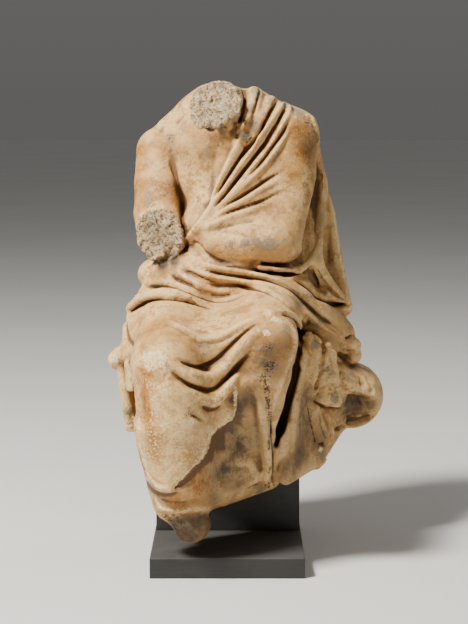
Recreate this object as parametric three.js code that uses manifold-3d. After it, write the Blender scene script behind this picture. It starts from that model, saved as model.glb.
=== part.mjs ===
// Marble statuette of a seated man in a mantle, on its grey painted mount.
// Millimetres, +Z up. The figure looks along -Y. The origin is the middle of the mount's underside.

import * as THREE from 'three';
import { mergeVertices } from 'three/addons/utils/BufferGeometryUtils.js';
import Module from 'manifold-3d';

const wasm = await Module();
wasm.setup();

// Driving dimensions

const FIGURE_HEIGHT = 611; // broken shin to the top of the neck break
const FIGURE_SHIFT_X = 13; // the figure's middle stands a little to the side of the mount's

const SLAB_WIDTH = 206;
const SLAB_DEPTH = 298;
const SLAB_THICKNESS = 27;

const UPRIGHT_WIDTH = 202;
const UPRIGHT_DEPTH = 134;
const UPRIGHT_FACE_Y = 6; // front face of the upright, behind the mount's middle
const SHIN_CLEARANCE = 21; // broken shin to the top of the slab

const SEAT_GAP = 0.3; // between pieces that rest on each other

// The figure is drawn in units of its own height, as it is seen from one eye point in front of it.
// u runs to the right and v down on the plane w = 0; w is the depth behind that plane.

const UNITS_TALL = 435;
const UNIT = FIGURE_HEIGHT / UNITS_TALL;
const EYE = { u: 237, v: 107, distance: 1731 };
const SEAT_LEVEL = -330; // underside of the stool, in units from the eye's level
const SHIN_LEVEL = -410; // lowest point of the broken shin
const BACK_VIEW = 180; // side elevations, by the angle round the figure in degrees
const LEFT_VIEW = 90;
const RIGHT_VIEW = 270;

const GRID_STEP = 3.6;
const GRID_LOW = new THREE.Vector3(-142, -165, -426);
const GRID_HIGH = new THREE.Vector3(170, 134, 40);
const SIGHT_LENGTH = 380;
const FILL_SHARE = 0.01; // depth, in grid steps, of stone that closes an unclear cell
const FAR = 60; // distance given to empty space
const TINY = 1e-9;

const KNUCKLE_BLEND = 3;
const BREAK_BLEND = 3;
const CARVED_BAND = 26; // depth of stone, either side of the plain surface, that carving reaches
const FOLD_DEPTH = 24;
const FOLD_FADE = 15;
const END_WIDTH = 0.55; // width of a fold's end, as a share of its middle's
const FOLD_TAPER = 0.2; // share of a fold's length over which its end fades
const LINE_STEP = 4;
const DEPTH_PASSES = 3;
const LAP_STEP = 3;
const LAP_FADE = 5;

const FIGURE_TRIANGLES = 9700;
const RELAX_PASSES = 2;
const RELAX_IN = 0.5;
const RELAX_OUT = -0.52;
const FLATNESS = 1e-3; // planes nearer to parallel than this don't settle a point
const LEAST_TURN = 0.25; // cosine of the most that a face may turn in one collapse
const EVENNESS = 2e-5; // favours short edges, so that faces stay even in plain areas
const FARTHEST_MOVE = 2; // of a joined point, in lengths of the edge that it replaces

// Drawing to space

function place([u, v, w]) {
  const spread = (EYE.distance + w) / EYE.distance;
  return new THREE.Vector3((u - EYE.u) * spread, w, (EYE.v - v) * spread);
}

// Height falls from 1 to 0 with its distance from a fold's line, as a share of the half width.
function profile(share) {
  const rest = 1 - Math.min(share, 1) ** 2;
  return rest * rest;
}

function smoothMin(a, b, blend) {
  const overlap = Math.max(blend - Math.abs(a - b), 0) / blend;
  return Math.min(a, b) - (overlap * overlap * blend) / 4;
}

function smoothMax(a, b, blend) {
  return -smoothMin(-a, -b, blend);
}

function closestShare(point, start, along) {
  const run = (point.x - start.x) * along.x + (point.y - start.y) * along.y + (point.z - start.z) * along.z;
  return THREE.MathUtils.clamp(run / along.lengthSq(), 0, 1);
}

// A view is the eye's own (null) or a side elevation, named by its angle round the figure in degrees.
function viewFrame(view) {
  const turn = THREE.MathUtils.degToRad(view);
  return {
    into: new THREE.Vector3(-Math.sin(turn), Math.cos(turn), 0),
    right: new THREE.Vector3(Math.cos(turn), Math.sin(turn), 0),
  };
}

function sightLine([u, v], view) {
  if (view === null) {
    const onPlane = place([u, v, 0]);
    const into = onPlane.clone().sub(new THREE.Vector3(0, -EYE.distance, 0));
    into.divideScalar(into.y);
    return { start: onPlane.addScaledVector(into, GRID_LOW.y), into };
  }
  const { into, right } = viewFrame(view);
  const start = right.multiplyScalar(u).addScaledVector(into, -SIGHT_LENGTH / 2);
  start.z = EYE.v - v;
  return { start, into };
}

// Stone: signed distances on a grid, negative inside

class Stone {
  constructor(low, high, step) {
    this.low = low;
    this.step = step;
    this.size = high.clone().sub(low).divideScalar(step).ceil().addScalar(1);
    this.field = new Float32Array(this.size.x * this.size.y * this.size.z).fill(FAR);
  }

  index(i, j, k) {
    return (k * this.size.y + j) * this.size.x + i;
  }

  // Runs visit(point, index) on the grid points of a box.
  sweep(box, visit) {
    const { low, size, step } = this;
    const first = box.min.clone().sub(low).divideScalar(step).floor().max(new THREE.Vector3());
    const last = box.max.clone().sub(low).divideScalar(step).ceil().min(size.clone().subScalar(1));
    const point = new THREE.Vector3();
    for (let k = first.z; k <= last.z; k += 1) {
      point.z = low.z + k * step;
      for (let j = first.y; j <= last.y; j += 1) {
        point.y = low.y + j * step;
        for (let i = first.x; i <= last.x; i += 1) {
          point.x = low.x + i * step;
          visit(point, this.index(i, j, k));
        }
      }
    }
  }

  blend(box, distance, width, cut) {
    const reach = box.clone().expandByScalar(width + 2 * this.step);
    this.sweep(reach, (point, index) => {
      const before = this.field[index];
      const form = distance(point);
      this.field[index] = cut ? smoothMax(before, -form, width) : smoothMin(before, form, width);
    });
  }

  // Ellipsoid with its radii along u, v and w.
  ball(centre, [ru, rv, rw], width, cut = false) {
    const middle = place(centre);
    const box = new THREE.Box3(middle.clone(), middle.clone()).expandByVector(new THREE.Vector3(ru, rw, rv));
    this.blend(box, (point) => {
      const x = (point.x - middle.x) / ru;
      const y = (point.y - middle.y) / rw;
      const z = (point.z - middle.z) / rv;
      const reach = Math.hypot(x, y, z);
      return (reach * (reach - 1)) / (Math.hypot(x / ru, y / rw, z / rv) + TINY);
    }, width, cut);
  }

  // Box with its half sizes along u, v and w, turned about the vertical and in the plane of the view.
  block(centre, [hu, hv, hw], rounding, width, { yaw = 0, roll = 0 } = {}) {
    const middle = place(centre);
    const turn = new THREE.Euler(0, -THREE.MathUtils.degToRad(roll), THREE.MathUtils.degToRad(yaw), 'ZYX');
    const back = new THREE.Matrix4().makeRotationFromEuler(turn).transpose();
    const reach = new THREE.Vector3().setScalar(Math.hypot(hu, hv, hw));
    const box = new THREE.Box3(middle.clone().sub(reach), middle.clone().add(reach));
    const local = new THREE.Vector3();
    this.blend(box, (point) => {
      local.copy(point).sub(middle).applyMatrix4(back);
      const x = Math.abs(local.x) - hu + rounding;
      const y = Math.abs(local.y) - hw + rounding;
      const z = Math.abs(local.z) - hv + rounding;
      const outside = Math.hypot(Math.max(x, 0), Math.max(y, 0), Math.max(z, 0));
      return outside + Math.min(Math.max(x, y, z), 0) - rounding;
    }, width);
  }

  // Round limb through joints, each [u, v, w, radius].
  limb(joints, width) {
    const ends = joints.map((joint) => ({ at: place(joint), radius: joint[3] }));
    const box = new THREE.Box3().setFromPoints(ends.map((end) => end.at));
    box.expandByScalar(Math.max(...ends.map((end) => end.radius)));
    const bones = ends.slice(1).map((end, i) => {
      const along = end.at.clone().sub(ends[i].at);
      return { from: ends[i], to: end, along };
    });
    const near = new THREE.Vector3();
    this.blend(box, (point) => bones.reduce((least, { from, to, along }) => {
      const share = closestShare(point, from.at, along);
      near.copy(from.at).addScaledVector(along, share);
      const reach = near.distanceTo(point) - THREE.MathUtils.lerp(from.radius, to.radius, share);
      return smoothMin(least, reach, KNUCKLE_BLEND);
    }, FAR), width);
  }

  // Flat piece of cloth or stone, twice the radius thick, through three or four corners, each [u, v, w].
  sheet(corners, radius, width, cut = false) {
    const points = corners.map(place);
    const box = new THREE.Box3().setFromPoints(points).expandByScalar(radius);
    const faces = points.slice(2).map((point, i) => new THREE.Triangle(points[0], points[i + 1], point));
    const near = new THREE.Vector3();
    this.blend(box, (point) => {
      const reaches = faces.map((face) => face.closestPointToPoint(point, near).distanceTo(point));
      return Math.min(...reaches) - radius;
    }, width, cut);
  }

  // Break: removes the stone past a plane, within a reach of its middle.
  shear(centre, normal, reach) {
    const middle = place(centre);
    const away = new THREE.Vector3(...normal).normalize();
    const box = new THREE.Box3(middle.clone(), middle.clone()).expandByScalar(reach);
    this.sweep(box, (point, index) => {
      const offset = point.clone().sub(middle);
      const removed = Math.min(offset.dot(away), reach - offset.length());
      this.field[index] = smoothMax(this.field[index], removed, BREAK_BLEND);
    });
  }

  sample(point) {
    const { low, size, step } = this;
    const x = THREE.MathUtils.clamp((point.x - low.x) / step, 0, size.x - 1.001);
    const y = THREE.MathUtils.clamp((point.y - low.y) / step, 0, size.y - 1.001);
    const z = THREE.MathUtils.clamp((point.z - low.z) / step, 0, size.z - 1.001);
    const [i, j, k] = [Math.floor(x), Math.floor(y), Math.floor(z)];
    const row = (dj, dk) => {
      const at = this.index(i, j + dj, k + dk);
      return THREE.MathUtils.lerp(this.field[at], this.field[at + 1], x - i);
    };
    const lower = THREE.MathUtils.lerp(row(0, 0), row(1, 0), y - j);
    return THREE.MathUtils.lerp(lower, THREE.MathUtils.lerp(row(0, 1), row(1, 1), y - j), z - k);
  }

  normal(point) {
    const reach = this.step;
    const slope = ['x', 'y', 'z'].map((axis) => {
      const ahead = point.clone();
      const behind = point.clone();
      ahead[axis] += reach;
      behind[axis] -= reach;
      return this.sample(ahead) - this.sample(behind);
    });
    return new THREE.Vector3(...slope).normalize();
  }

  // Depth along a sight line of the first stone met, or of the nearest miss.
  depthSeen({ start, into }) {
    const point = start.clone();
    let nearest = { depth: 0, miss: FAR };
    let before = FAR;
    for (let depth = 0; depth < SIGHT_LENGTH; depth += 1) {
      const miss = this.sample(point);
      if (miss < 0) {
        return depth - (depth > 0 ? miss / (miss - before) : 0);
      }
      if (miss < nearest.miss) {
        nearest = { depth, miss };
      }
      before = miss;
      point.add(into);
    }
    return nearest.depth;
  }
}

// Carving: folds and laps drawn on the plain stone

class Carving {
  constructor(stone) {
    this.stone = stone;
    this.relief = new Float32Array(stone.field.length);
  }

  // Points of a drawn line where it meets the stone, with the stone's normals there.
  land(drawn, view) {
    const flat = new THREE.SplineCurve(drawn.map(([u, v]) => new THREE.Vector2(u, v)));
    const count = Math.max(4, Math.round(flat.getLength() / LINE_STEP));
    const lines = flat.getPoints(count).map(({ x, y }) => sightLine([x, y], view));
    let depths = lines.map((line) => this.stone.depthSeen(line));
    for (let pass = 0; pass < DEPTH_PASSES; pass += 1) {
      depths = depths.map((depth, i) => {
        const around = (depths[i - 1] ?? depth) + (depths[i + 1] ?? depth);
        return depth / 2 + around / 4;
      });
    }
    const points = lines.map(({ start, into }, i) => start.clone().addScaledVector(into, depths[i]));
    return { points, normals: points.map((point) => this.stone.normal(point)) };
  }

  // A ridge (height over 0) or a channel (under 0) along a drawn line, with half widths left and right.
  fold(drawn, height, left, right = left, { view = null, open = [false, false] } = {}) {
    const { points, normals } = this.land(drawn, view);
    const steps = points.slice(1).map((point, i) => ({
      from: points[i],
      along: point.clone().sub(points[i]),
      normal: normals[i].clone().add(normals[i + 1]).normalize(),
      share: i / (points.length - 1),
    })).filter((step) => step.along.lengthSq() > TINY);
    const nearest = new Map();
    const offset = new THREE.Vector3();
    const across = new THREE.Vector3();
    steps.forEach(({ from, along, normal, share }) => {
      const box = new THREE.Box3().setFromPoints([from, from.clone().add(along)]);
      box.expandByScalar(Math.max(left, right, FOLD_DEPTH));
      this.stone.sweep(box, (point, index) => {
        if (Math.abs(this.stone.field[index]) > CARVED_BAND) {
          return;
        }
        const part = closestShare(point, from, along);
        offset.copy(point).sub(from).addScaledVector(along, -part);
        const reach = offset.lengthSq();
        if (reach >= (nearest.get(index)?.reach ?? Infinity)) {
          return;
        }
        const lift = offset.dot(normal);
        offset.addScaledVector(normal, -lift);
        const side = across.copy(normal).cross(along).dot(offset);
        const run = share + part / (points.length - 1);
        const fadeIn = open[0] ? 1 : Math.min(run / FOLD_TAPER, 1);
        const fadeOut = open[1] ? 1 : Math.min((1 - run) / FOLD_TAPER, 1);
        const fade = fadeIn * fadeOut;
        const halfWidth = (side >= 0 ? left : right) * THREE.MathUtils.lerp(END_WIDTH, 1, fade);
        const depthFade = THREE.MathUtils.clamp((FOLD_DEPTH - Math.abs(lift)) / FOLD_FADE, 0, 1);
        const rise = height * fade * profile(offset.length() / halfWidth) * depthFade;
        nearest.set(index, { reach, rise });
      });
    });
    nearest.forEach(({ rise }, index) => {
      this.relief[index] += rise;
    });
  }

  // Folds, ridge and channel in turn, spread evenly from the first drawn line to the last.
  fan(first, last, count, height, halfWidth, options) {
    for (let i = 0; i < count; i += 1) {
      const share = i / (count - 1);
      const line = first.map(([u, v], k) => [
        THREE.MathUtils.lerp(u, last[k][0], share),
        THREE.MathUtils.lerp(v, last[k][1], share),
      ]);
      this.fold(line, i % 2 === 0 ? height : -height, halfWidth, halfWidth, options);
    }
  }

  // Raises (or lowers) the stone seen inside an outline, whose corners are [u, v, width of the next edge].
  lap(outline, height, view = null) {
    const area = new THREE.Box2().setFromPoints(outline.map(([u, v]) => new THREE.Vector2(u, v)));
    const across = Math.ceil((area.max.x - area.min.x) / LAP_STEP) + 1;
    const seen = new Map();
    const depthAt = (u, v) => {
      const column = Math.round((u - area.min.x) / LAP_STEP);
      const row = Math.round((v - area.min.y) / LAP_STEP);
      const key = row * across + column;
      if (!seen.has(key)) {
        const line = sightLine([area.min.x + column * LAP_STEP, area.min.y + row * LAP_STEP], view);
        seen.set(key, line.start.clone().addScaledVector(line.into, this.stone.depthSeen(line)));
      }
      return seen.get(key);
    };
    const frame = view === null ? null : viewFrame(view);
    const whole = new THREE.Box3(GRID_LOW, GRID_HIGH);
    this.stone.sweep(whole, (point, index) => {
      if (Math.abs(this.stone.field[index]) > CARVED_BAND) {
        return;
      }
      const spread = view === null ? (EYE.distance + point.y) / EYE.distance : 1;
      const u = view === null ? EYE.u + point.x / spread : point.dot(frame.right);
      const v = EYE.v - point.z / spread;
      if (!area.containsPoint({ x: u, y: v })) {
        return;
      }
      const share = shareInside(outline, u, v);
      if (share <= 0) {
        return;
      }
      const skin = depthAt(u, v);
      const behind = view === null ? point.y - skin.y : point.clone().sub(skin).dot(frame.into);
      const front = THREE.MathUtils.clamp((CARVED_BAND - behind) / LAP_FADE, 0, 1);
      this.relief[index] += height * THREE.MathUtils.smoothstep(share, 0, 1) * front;
    });
  }

  apply() {
    this.relief.forEach((rise, index) => {
      this.stone.field[index] -= rise;
    });
  }
}

// 0 outside an outline, rising to 1 inside over the width of its nearest edges.
function shareInside(outline, u, v) {
  let inside = false;
  let share = 1;
  outline.forEach(([au, av, edge], i) => {
    const [bu, bv] = outline[(i + 1) % outline.length];
    if ((av > v) !== (bv > v) && u < au + ((v - av) / (bv - av)) * (bu - au)) {
      inside = !inside;
    }
    const along = [bu - au, bv - av];
    const part = ((u - au) * along[0] + (v - av) * along[1]) / (along[0] ** 2 + along[1] ** 2);
    const near = THREE.MathUtils.clamp(part, 0, 1);
    share = Math.min(share, Math.hypot(u - au - near * along[0], v - av - near * along[1]) / edge);
  });
  return inside ? share : 0;
}

// The plain forms. Right and left are the seated man's own.

function torso(stone) {
  stone.ball([224, 160, 50], [60, 54, 46], 10);
  stone.ball([232, 214, 50], [50, 52, 44], 16);
  stone.ball([226, 244, 50], [56, 44, 44], 20);
  stone.limb([[165, 149, 54, 23], [200, 124, 55, 27], [250, 118, 50, 29], [287, 138, 46, 29]], 14);
  stone.limb([[212, 107, 52, 23], [176, 134, 57, 18]], 8);
  stone.ball([218, 116, 50], [36, 26, 30], 12);
  stone.ball([207, 178, 16], [25, 28, 13], 14);
  stone.ball([214, 228, 16], [32, 22, 16], 14);
  stone.ball([234, 205, 66], [74, 95, 34], 20);
}

// The neck is broken off short.
function neck(stone) {
  stone.limb([[225, 113, 50, 28], [216, 106, 4, 24.5]], 6);
  stone.ball([223, 101.5, 14], [19, 18, 14], 6);
  stone.shear([217, 105, 0], [0.05, -0.9, 0.42], 34);
}

// The right arm hangs beside the chest and is broken off just past the elbow.
function rightArm(stone) {
  stone.limb([[161, 151, 50, 24], [159, 182, 36, 23.5], [158, 212, 26, 23]], 4);
  stone.limb([[158, 213, 26, 23], [161, 240, -10, 22.5]], 3);
  stone.ball([177, 242, 2], [9, 9, 10], 4);
  stone.shear([161, 236, -4], [-0.04, -1, 0.02], 38);
  stone.shear([173, 256, 2], [0.48, -0.1, -0.87], 20);
}

// The left arm lies across the body under the mantle.
function leftArm(stone) {
  stone.limb([[287, 138, 46, 29], [288, 175, 38, 28], [284, 212, 20, 26.5], [276, 237, 2, 24]], 12);
  stone.limb([[276, 237, 2, 24], [246, 240, -8, 20], [216, 240, -4, 17]], 16);
  stone.ball([255, 185, 24], [46, 52, 26], 20);
  stone.ball([240, 222, 6], [48, 34, 24], 20);
}

function hips(stone) {
  stone.ball([230, 280, 44], [86, 30, 55], 18);
  stone.limb([[168, 268, 8, 16], [210, 272, -4, 18], [260, 279, -4, 16], [296, 290, 6, 16]], 10);
  stone.ball([160, 273, 34], [22, 17, 22], 5);
  stone.ball([175, 270, 8], [18, 13, 15], 8);
  stone.ball([235, 330, 72], [92, 62, 42], 20);
}

// A sheet of the mantle falls down the back, with a narrow fold between it and the arm.
function mantleBehindArm(stone) {
  stone.limb([[303, 146, 66, 12.5], [313, 180, 70, 13], [322, 215, 72, 13], [331, 298, 74, 18]], 8);
  stone.sheet([[310, 146, 62], [346, 308, 62], [300, 318, 72]], 6, 8);
  stone.limb([[319, 176, 52, 4], [320, 208, 40, 5], [317, 240, 26, 5], [316, 262, 16, 6]], 5);
  stone.limb([[316, 262, 16, 6], [330, 288, 32, 7], [346, 304, 48, 6]], 6);
}

function thighs(stone) {
  stone.limb([[188, 302, 30, 38], [172, 332, -45, 36], [166, 364, -110, 31]], 14);
  stone.limb([[268, 297, 30, 38], [271, 318, -40, 32], [268, 340, -92, 28]], 12);
  stone.sheet([[172, 314, -5], [275, 308, -5], [264, 334, -85], [176, 352, -95]], 18, 14);
  stone.sheet([[176, 356, -97], [262, 342, -86], [205, 402, -100]], 12, 12);
}

function shins(stone) {
  stone.limb([
    [166, 364, -110, 31], [170, 420, -110, 30], [177, 480, -102, 28],
    [180, 500, -98, 26.5], [189, 518, -99, 24],
  ], 8);
  stone.limb([
    [268, 340, -92, 28], [267, 372, -86, 24], [264, 400, -74, 19],
    [264, 430, -62, 13], [266, 455, -50, 10], [266, 480, -36, 9],
  ], 10);
}

function clothBetweenShins(stone) {
  stone.sheet([[185, 390, -118], [240, 385, -100], [262, 470, -50], [190, 505, -108]], 9, 10);
  stone.sheet([[190, 380, -80], [262, 380, -60], [266, 474, -14], [188, 502, -60]], 16, 10);
}

function stool(stone) {
  stone.block([228, 395, -2], [72, 55, 44], 14, 12, { yaw: -12 });
  stone.block([240, 400, 58], [92, 46, 52], 14, 12, { yaw: -6 });
}

// The cushion's end stands out past the left hip, broken and hollow below.
function cushion(stone) {
  stone.block([248, 388, 66], [114, 32, 54], 26, 8, { yaw: -4 });
  stone.ball([350, 394, 66], [34, 34, 44], 8);
  stone.shear([355, 391, 28], [0.15, -0.62, -0.77], 50);
  stone.ball([357, 409, 24], [19, 16, 24], 3, true);
}

function clothBesideSeat(stone) {
  stone.sheet([[300, 352, -10], [338, 345, 42], [339, 426, 46], [314, 462, 8]], 7, 8);
  stone.sheet([[300, 352, -10], [314, 462, 8], [284, 480, -36], [286, 430, -38]], 7, 8);
  stone.sheet([[306, 334, -4], [316, 340, -2], [315, 386, -6], [306, 398, -12]], 6, 4);
  stone.sheet([[327, 347, 4], [337, 352, 10], [337, 396, 14], [322, 397, 2]], 7, 4);
  stone.limb([[262, 284, 0, 18], [310, 308, 22, 20], [336, 334, 48, 19]], 12);
}

function clothBesideRightThigh(stone) {
  stone.limb([[152, 300, 14, 16], [142, 326, -18, 18], [138, 350, -50, 16]], 12);
  stone.limb([[162, 292, -4, 10], [135, 306, 20, 7.5]], 6);
  stone.ball([116, 358, -34], [8, 10, 10], 3);
  stone.sheet([[117, 360, -36], [126, 364, -50], [133, 428, -42], [125, 410, -34]], 4, 4);
  stone.sheet([[120, 362, -36], [131, 424, -36], [142, 425, 10], [130, 350, 10]], 6, 6);
}

// Deep gaps that cast dark shadows: beside the left shin, and between the left arm and the mantle behind it.
function gaps(stone) {
  stone.sheet([[298, 358, -70], [298, 358, -8], [277, 441, -14], [277, 441, -70]], 4, 4, true);
  stone.sheet([[318, 182, 20], [318, 182, 52], [310, 220, 52], [310, 220, -6]], 4, 3, true);
  stone.sheet([[310, 220, -6], [310, 220, 52], [305, 243, 50], [305, 243, -12]], 4, 3, true);
}

// The carving

function chestCarving(carving) {
  carving.fold([[219, 128], [214, 160], [210, 195], [204, 222]], -2.5, 12);
}

function shoulderFolds(carving) {
  carving.fold([[253, 82], [251, 96], [247, 112], [243, 124]], 7, 8);
  carving.fold([[243, 128], [219, 184], [198, 226], [186, 239]], 5, 7, 5, { open: [false, true] });
  carving.fan(
    [[262, 84], [249, 124], [234, 162], [218, 196]],
    [[292, 104], [270, 146], [248, 176], [222, 206]],
    5, -6, 5, { open: [true, false] },
  );
  carving.fan(
    [[286, 136], [262, 168], [240, 190], [214, 212]],
    [[287, 188], [262, 200], [238, 210], [206, 226]],
    4, 5, 5,
  );
}

function foldsBehindArm(carving) {
  carving.fold([[329, 178], [328, 240], [328, 272]], -5, 7);
  carving.fold([[260, 262], [290, 263], [303, 259], [313, 244]], -9, 5);
  carving.fold([[255, 268], [290, 275], [312, 268]], -6, 5);
}

function waistFolds(carving) {
  carving.fan(
    [[196, 260], [239, 270], [286, 280], [321, 310], [345, 326]],
    [[160, 282], [206, 294], [255, 292], [293, 315], [302, 330]],
    5, 5, 5,
  );
  carving.fold([[143, 284], [183, 290], [208, 300], [234, 298], [248, 291]], -8, 5.5);
  carving.fold([[127, 307], [153, 291], [187, 296], [212, 306]], 6, 6.5);
  carving.fold([[129, 314], [153, 300], [182, 302], [212, 311]], -6, 5);
  carving.fold([[292, 278], [311, 294], [346, 306]], -8, 5);
}

function lapFolds(carving) {
  carving.fold([[163, 319], [185, 329], [211, 340], [230, 332], [254, 313]], 4, 9, 6);
  carving.fold([[176, 359], [203, 366], [226, 350], [262, 318]], -9, 6, 6);
  carving.fold([[172, 362], [203, 380], [232, 361], [262, 336]], 7, 8);
  carving.fold([[174, 376], [206, 390], [232, 369], [248, 352]], -10, 7);
  carving.fold([[186, 394], [211, 399], [233, 382], [242, 366]], 4, 7);
}

function shinCloth(carving) {
  carving.lap([
    [236, 380, 20], [237, 410, 4], [221, 426, 4], [208, 450, 4], [186, 482, 4], [160, 490, 4], [148, 478, 4],
    [139, 447, 4], [134, 410, 26], [134, 366, 30], [200, 366, 30],
  ], 6);
  carving.lap([[150, 497, 4], [176, 512, 4], [226, 500, 20], [226, 550, 20], [150, 550, 20]], -4);
  carving.fold([[256, 388], [262, 427], [267, 465], [266, 486]], 5, 9, 7);
  carving.fold([[270, 384], [271, 440], [272, 486]], -6, 5, 5, { open: [false, true] });
}

function besideSeatFolds(carving) {
  carving.fold([[322, 342], [321, 366], [316, 388]], -9, 5);
  carving.fold([[308, 397], [316, 438], [318, 452]], -5, 5);
  carving.fold([[314, 400], [328, 406], [342, 406]], -5, 5);
}

// The mantle crosses the back from the left shoulder to the right hip.
function backFolds(carving) {
  carving.lap([
    [-95, 96, 20], [-10, 90, 4], [30, 130, 4], [60, 190, 4], [84, 258, 4], [95, 300, 20], [-95, 330, 20],
  ], 5, BACK_VIEW);
  carving.fan(
    [[-20, 100], [18, 142], [48, 196], [74, 256]],
    [[-78, 160], [-72, 220], [-54, 280], [-14, 322]],
    7, 5.5, 8, { view: BACK_VIEW },
  );
  carving.fold([[86, 288], [50, 306], [-50, 330], [-86, 338]], -6, 8, 8, { view: BACK_VIEW });
  carving.fold([[92, 302], [50, 322], [-50, 344], [-92, 350]], 5, 8, 8, { view: BACK_VIEW });
}

function cushionPleats(carving) {
  carving.fan(
    [[88, 330], [84, 356], [90, 384], [88, 412]],
    [[-92, 356], [-92, 374], [-88, 396], [-92, 414]],
    6, -4.5, 8, { view: BACK_VIEW },
  );
}

function sideFolds(carving) {
  carving.fold([[66, 130], [70, 180], [74, 240], [80, 300]], -5, 7, 7, { view: LEFT_VIEW });
  carving.fold([[84, 150], [88, 210], [92, 270], [94, 320]], 4, 8, 8, { view: LEFT_VIEW });
  carving.fold([[-60, 300], [20, 318], [96, 344]], -5, 7, 7, { view: RIGHT_VIEW });
  carving.fold([[-66, 314], [-24, 324], [50, 348]], 4, 8, 8, { view: RIGHT_VIEW });
}

function carvedFigure() {
  const stone = new Stone(GRID_LOW, GRID_HIGH, GRID_STEP);
  const forms = [
    torso, neck, rightArm, leftArm, hips, mantleBehindArm, thighs, shins, clothBetweenShins, stool, cushion,
    clothBesideSeat, clothBesideRightThigh, gaps,
  ];
  forms.forEach((form) => form(stone));
  const carving = new Carving(stone);
  const folds = [
    chestCarving, shoulderFolds, foldsBehindArm, waistFolds, lapFolds, shinCloth, besideSeatFolds,
    backFolds, cushionPleats, sideFolds,
  ];
  folds.forEach((fold) => fold(carving));
  carving.apply();
  return stone;
}

// Surface of the stone

const CELL_CORNERS = [[0, 0, 0], [1, 0, 0], [0, 1, 0], [1, 1, 0], [0, 0, 1], [1, 0, 1], [0, 1, 1], [1, 1, 1]];
const CELL_EDGES = [
  [0, 1], [2, 3], [4, 5], [6, 7], [0, 2], [1, 3], [4, 6], [5, 7], [0, 4], [1, 5], [2, 6], [3, 7],
];
const CORNER_NEIGHBOURS = CELL_CORNERS.map((_, corner) => CELL_EDGES
  .filter((edge) => edge.includes(corner))
  .map(([a, b]) => (a === corner ? b : a)));

// True where the chosen corners of a cell hang together along its edges.
function inOnePiece(chosen) {
  const start = chosen.indexOf(true);
  const reached = new Set([start]);
  const open = [start];
  while (open.length > 0) {
    const next = CORNER_NEIGHBOURS[open.pop()].filter((corner) => chosen[corner] && !reached.has(corner));
    next.forEach((corner) => {
      reached.add(corner);
      open.push(corner);
    });
  }
  return reached.size === chosen.filter(Boolean).length;
}

const PLAIN_CELLS = Array.from({ length: 256 }, (_, code) => {
  const inside = CELL_CORNERS.map((_corner, bit) => Boolean(code & (1 << bit)));
  return code > 0 && code < 255 && inOnePiece(inside) && inOnePiece(inside.map((chosen) => !chosen));
});

// One point in each cell that the surface crosses, joined by a face across each grid edge that it crosses.
function surfaceOf(stone) {
  const { field, size, low, step } = stone;
  const corners = CELL_CORNERS.map(([i, j, k]) => stone.index(i, j, k));
  const codeAt = (base) => corners.reduce((code, corner, bit) => {
    const inside = field[base + corner] < 0;
    return inside ? code | (1 << bit) : code;
  }, 0);
  const eachCell = (visit) => {
    for (let k = 0; k < size.z - 1; k += 1) {
      for (let j = 0; j < size.y - 1; j += 1) {
        for (let i = 0; i < size.x - 1; i += 1) {
          const base = stone.index(i, j, k);
          const code = codeAt(base);
          if (code > 0 && code < 255) {
            visit(base, code, i, j, k);
          }
        }
      }
    }
  };

  // Cells where the surface would touch itself are filled with stone.
  let filled = true;
  while (filled) {
    filled = false;
    eachCell((base, code) => {
      if (!PLAIN_CELLS[code]) {
        corners.forEach((corner) => {
          field[base + corner] = Math.min(field[base + corner], -step * FILL_SHARE);
        });
        filled = true;
      }
    });
  }

  const points = [];
  const numbers = new Map();
  eachCell((base, code, i, j, k) => {
    const sum = new THREE.Vector3();
    let crossings = 0;
    CELL_EDGES.forEach(([a, b]) => {
      const [before, after] = [field[base + corners[a]], field[base + corners[b]]];
      if ((before < 0) !== (after < 0)) {
        const share = before / (before - after);
        sum.x += THREE.MathUtils.lerp(CELL_CORNERS[a][0], CELL_CORNERS[b][0], share);
        sum.y += THREE.MathUtils.lerp(CELL_CORNERS[a][1], CELL_CORNERS[b][1], share);
        sum.z += THREE.MathUtils.lerp(CELL_CORNERS[a][2], CELL_CORNERS[b][2], share);
        crossings += 1;
      }
    });
    numbers.set(base, points.length / 3);
    points.push(
      low.x + (i + sum.x / crossings) * step,
      low.y + (j + sum.y / crossings) * step,
      low.z + (k + sum.z / crossings) * step,
    );
  });

  const triangles = [];
  const strides = [stone.index(1, 0, 0), stone.index(0, 1, 0), stone.index(0, 0, 1)];
  eachCell((base) => {
    strides.forEach((along, axis) => {
      const solid = field[base] < 0;
      if (solid === field[base + along] < 0) {
        return;
      }
      const [aside, up] = [strides[(axis + 1) % 3], strides[(axis + 2) % 3]];
      const around = [base, base - aside, base - aside - up, base - up];
      const [a, b, c, d] = around.map((cell) => numbers.get(cell));
      triangles.push(...(solid ? [a, b, c, a, c, d] : [a, c, b, a, d, c]));
    });
  });
  return { points: Float64Array.from(points), triangles: Uint32Array.from(triangles) };
}

// Keeps the body with the most triangles.
function largestBody({ points, triangles }) {
  const root = Uint32Array.from({ length: points.length / 3 }, (_, i) => i);
  const find = (i) => {
    let top = i;
    while (root[top] !== top) {
      root[top] = root[root[top]];
      top = root[top];
    }
    return top;
  };
  for (let t = 0; t < triangles.length; t += 3) {
    root[find(triangles[t + 1])] = find(triangles[t]);
    root[find(triangles[t + 2])] = find(triangles[t]);
  }
  const counts = new Map();
  for (let t = 0; t < triangles.length; t += 3) {
    const body = find(triangles[t]);
    counts.set(body, (counts.get(body) ?? 0) + 1);
  }
  const [largest] = [...counts].reduce((most, entry) => (entry[1] > most[1] ? entry : most));
  return compact(points, triangles.filter((corner) => find(corner) === largest));
}

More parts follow.
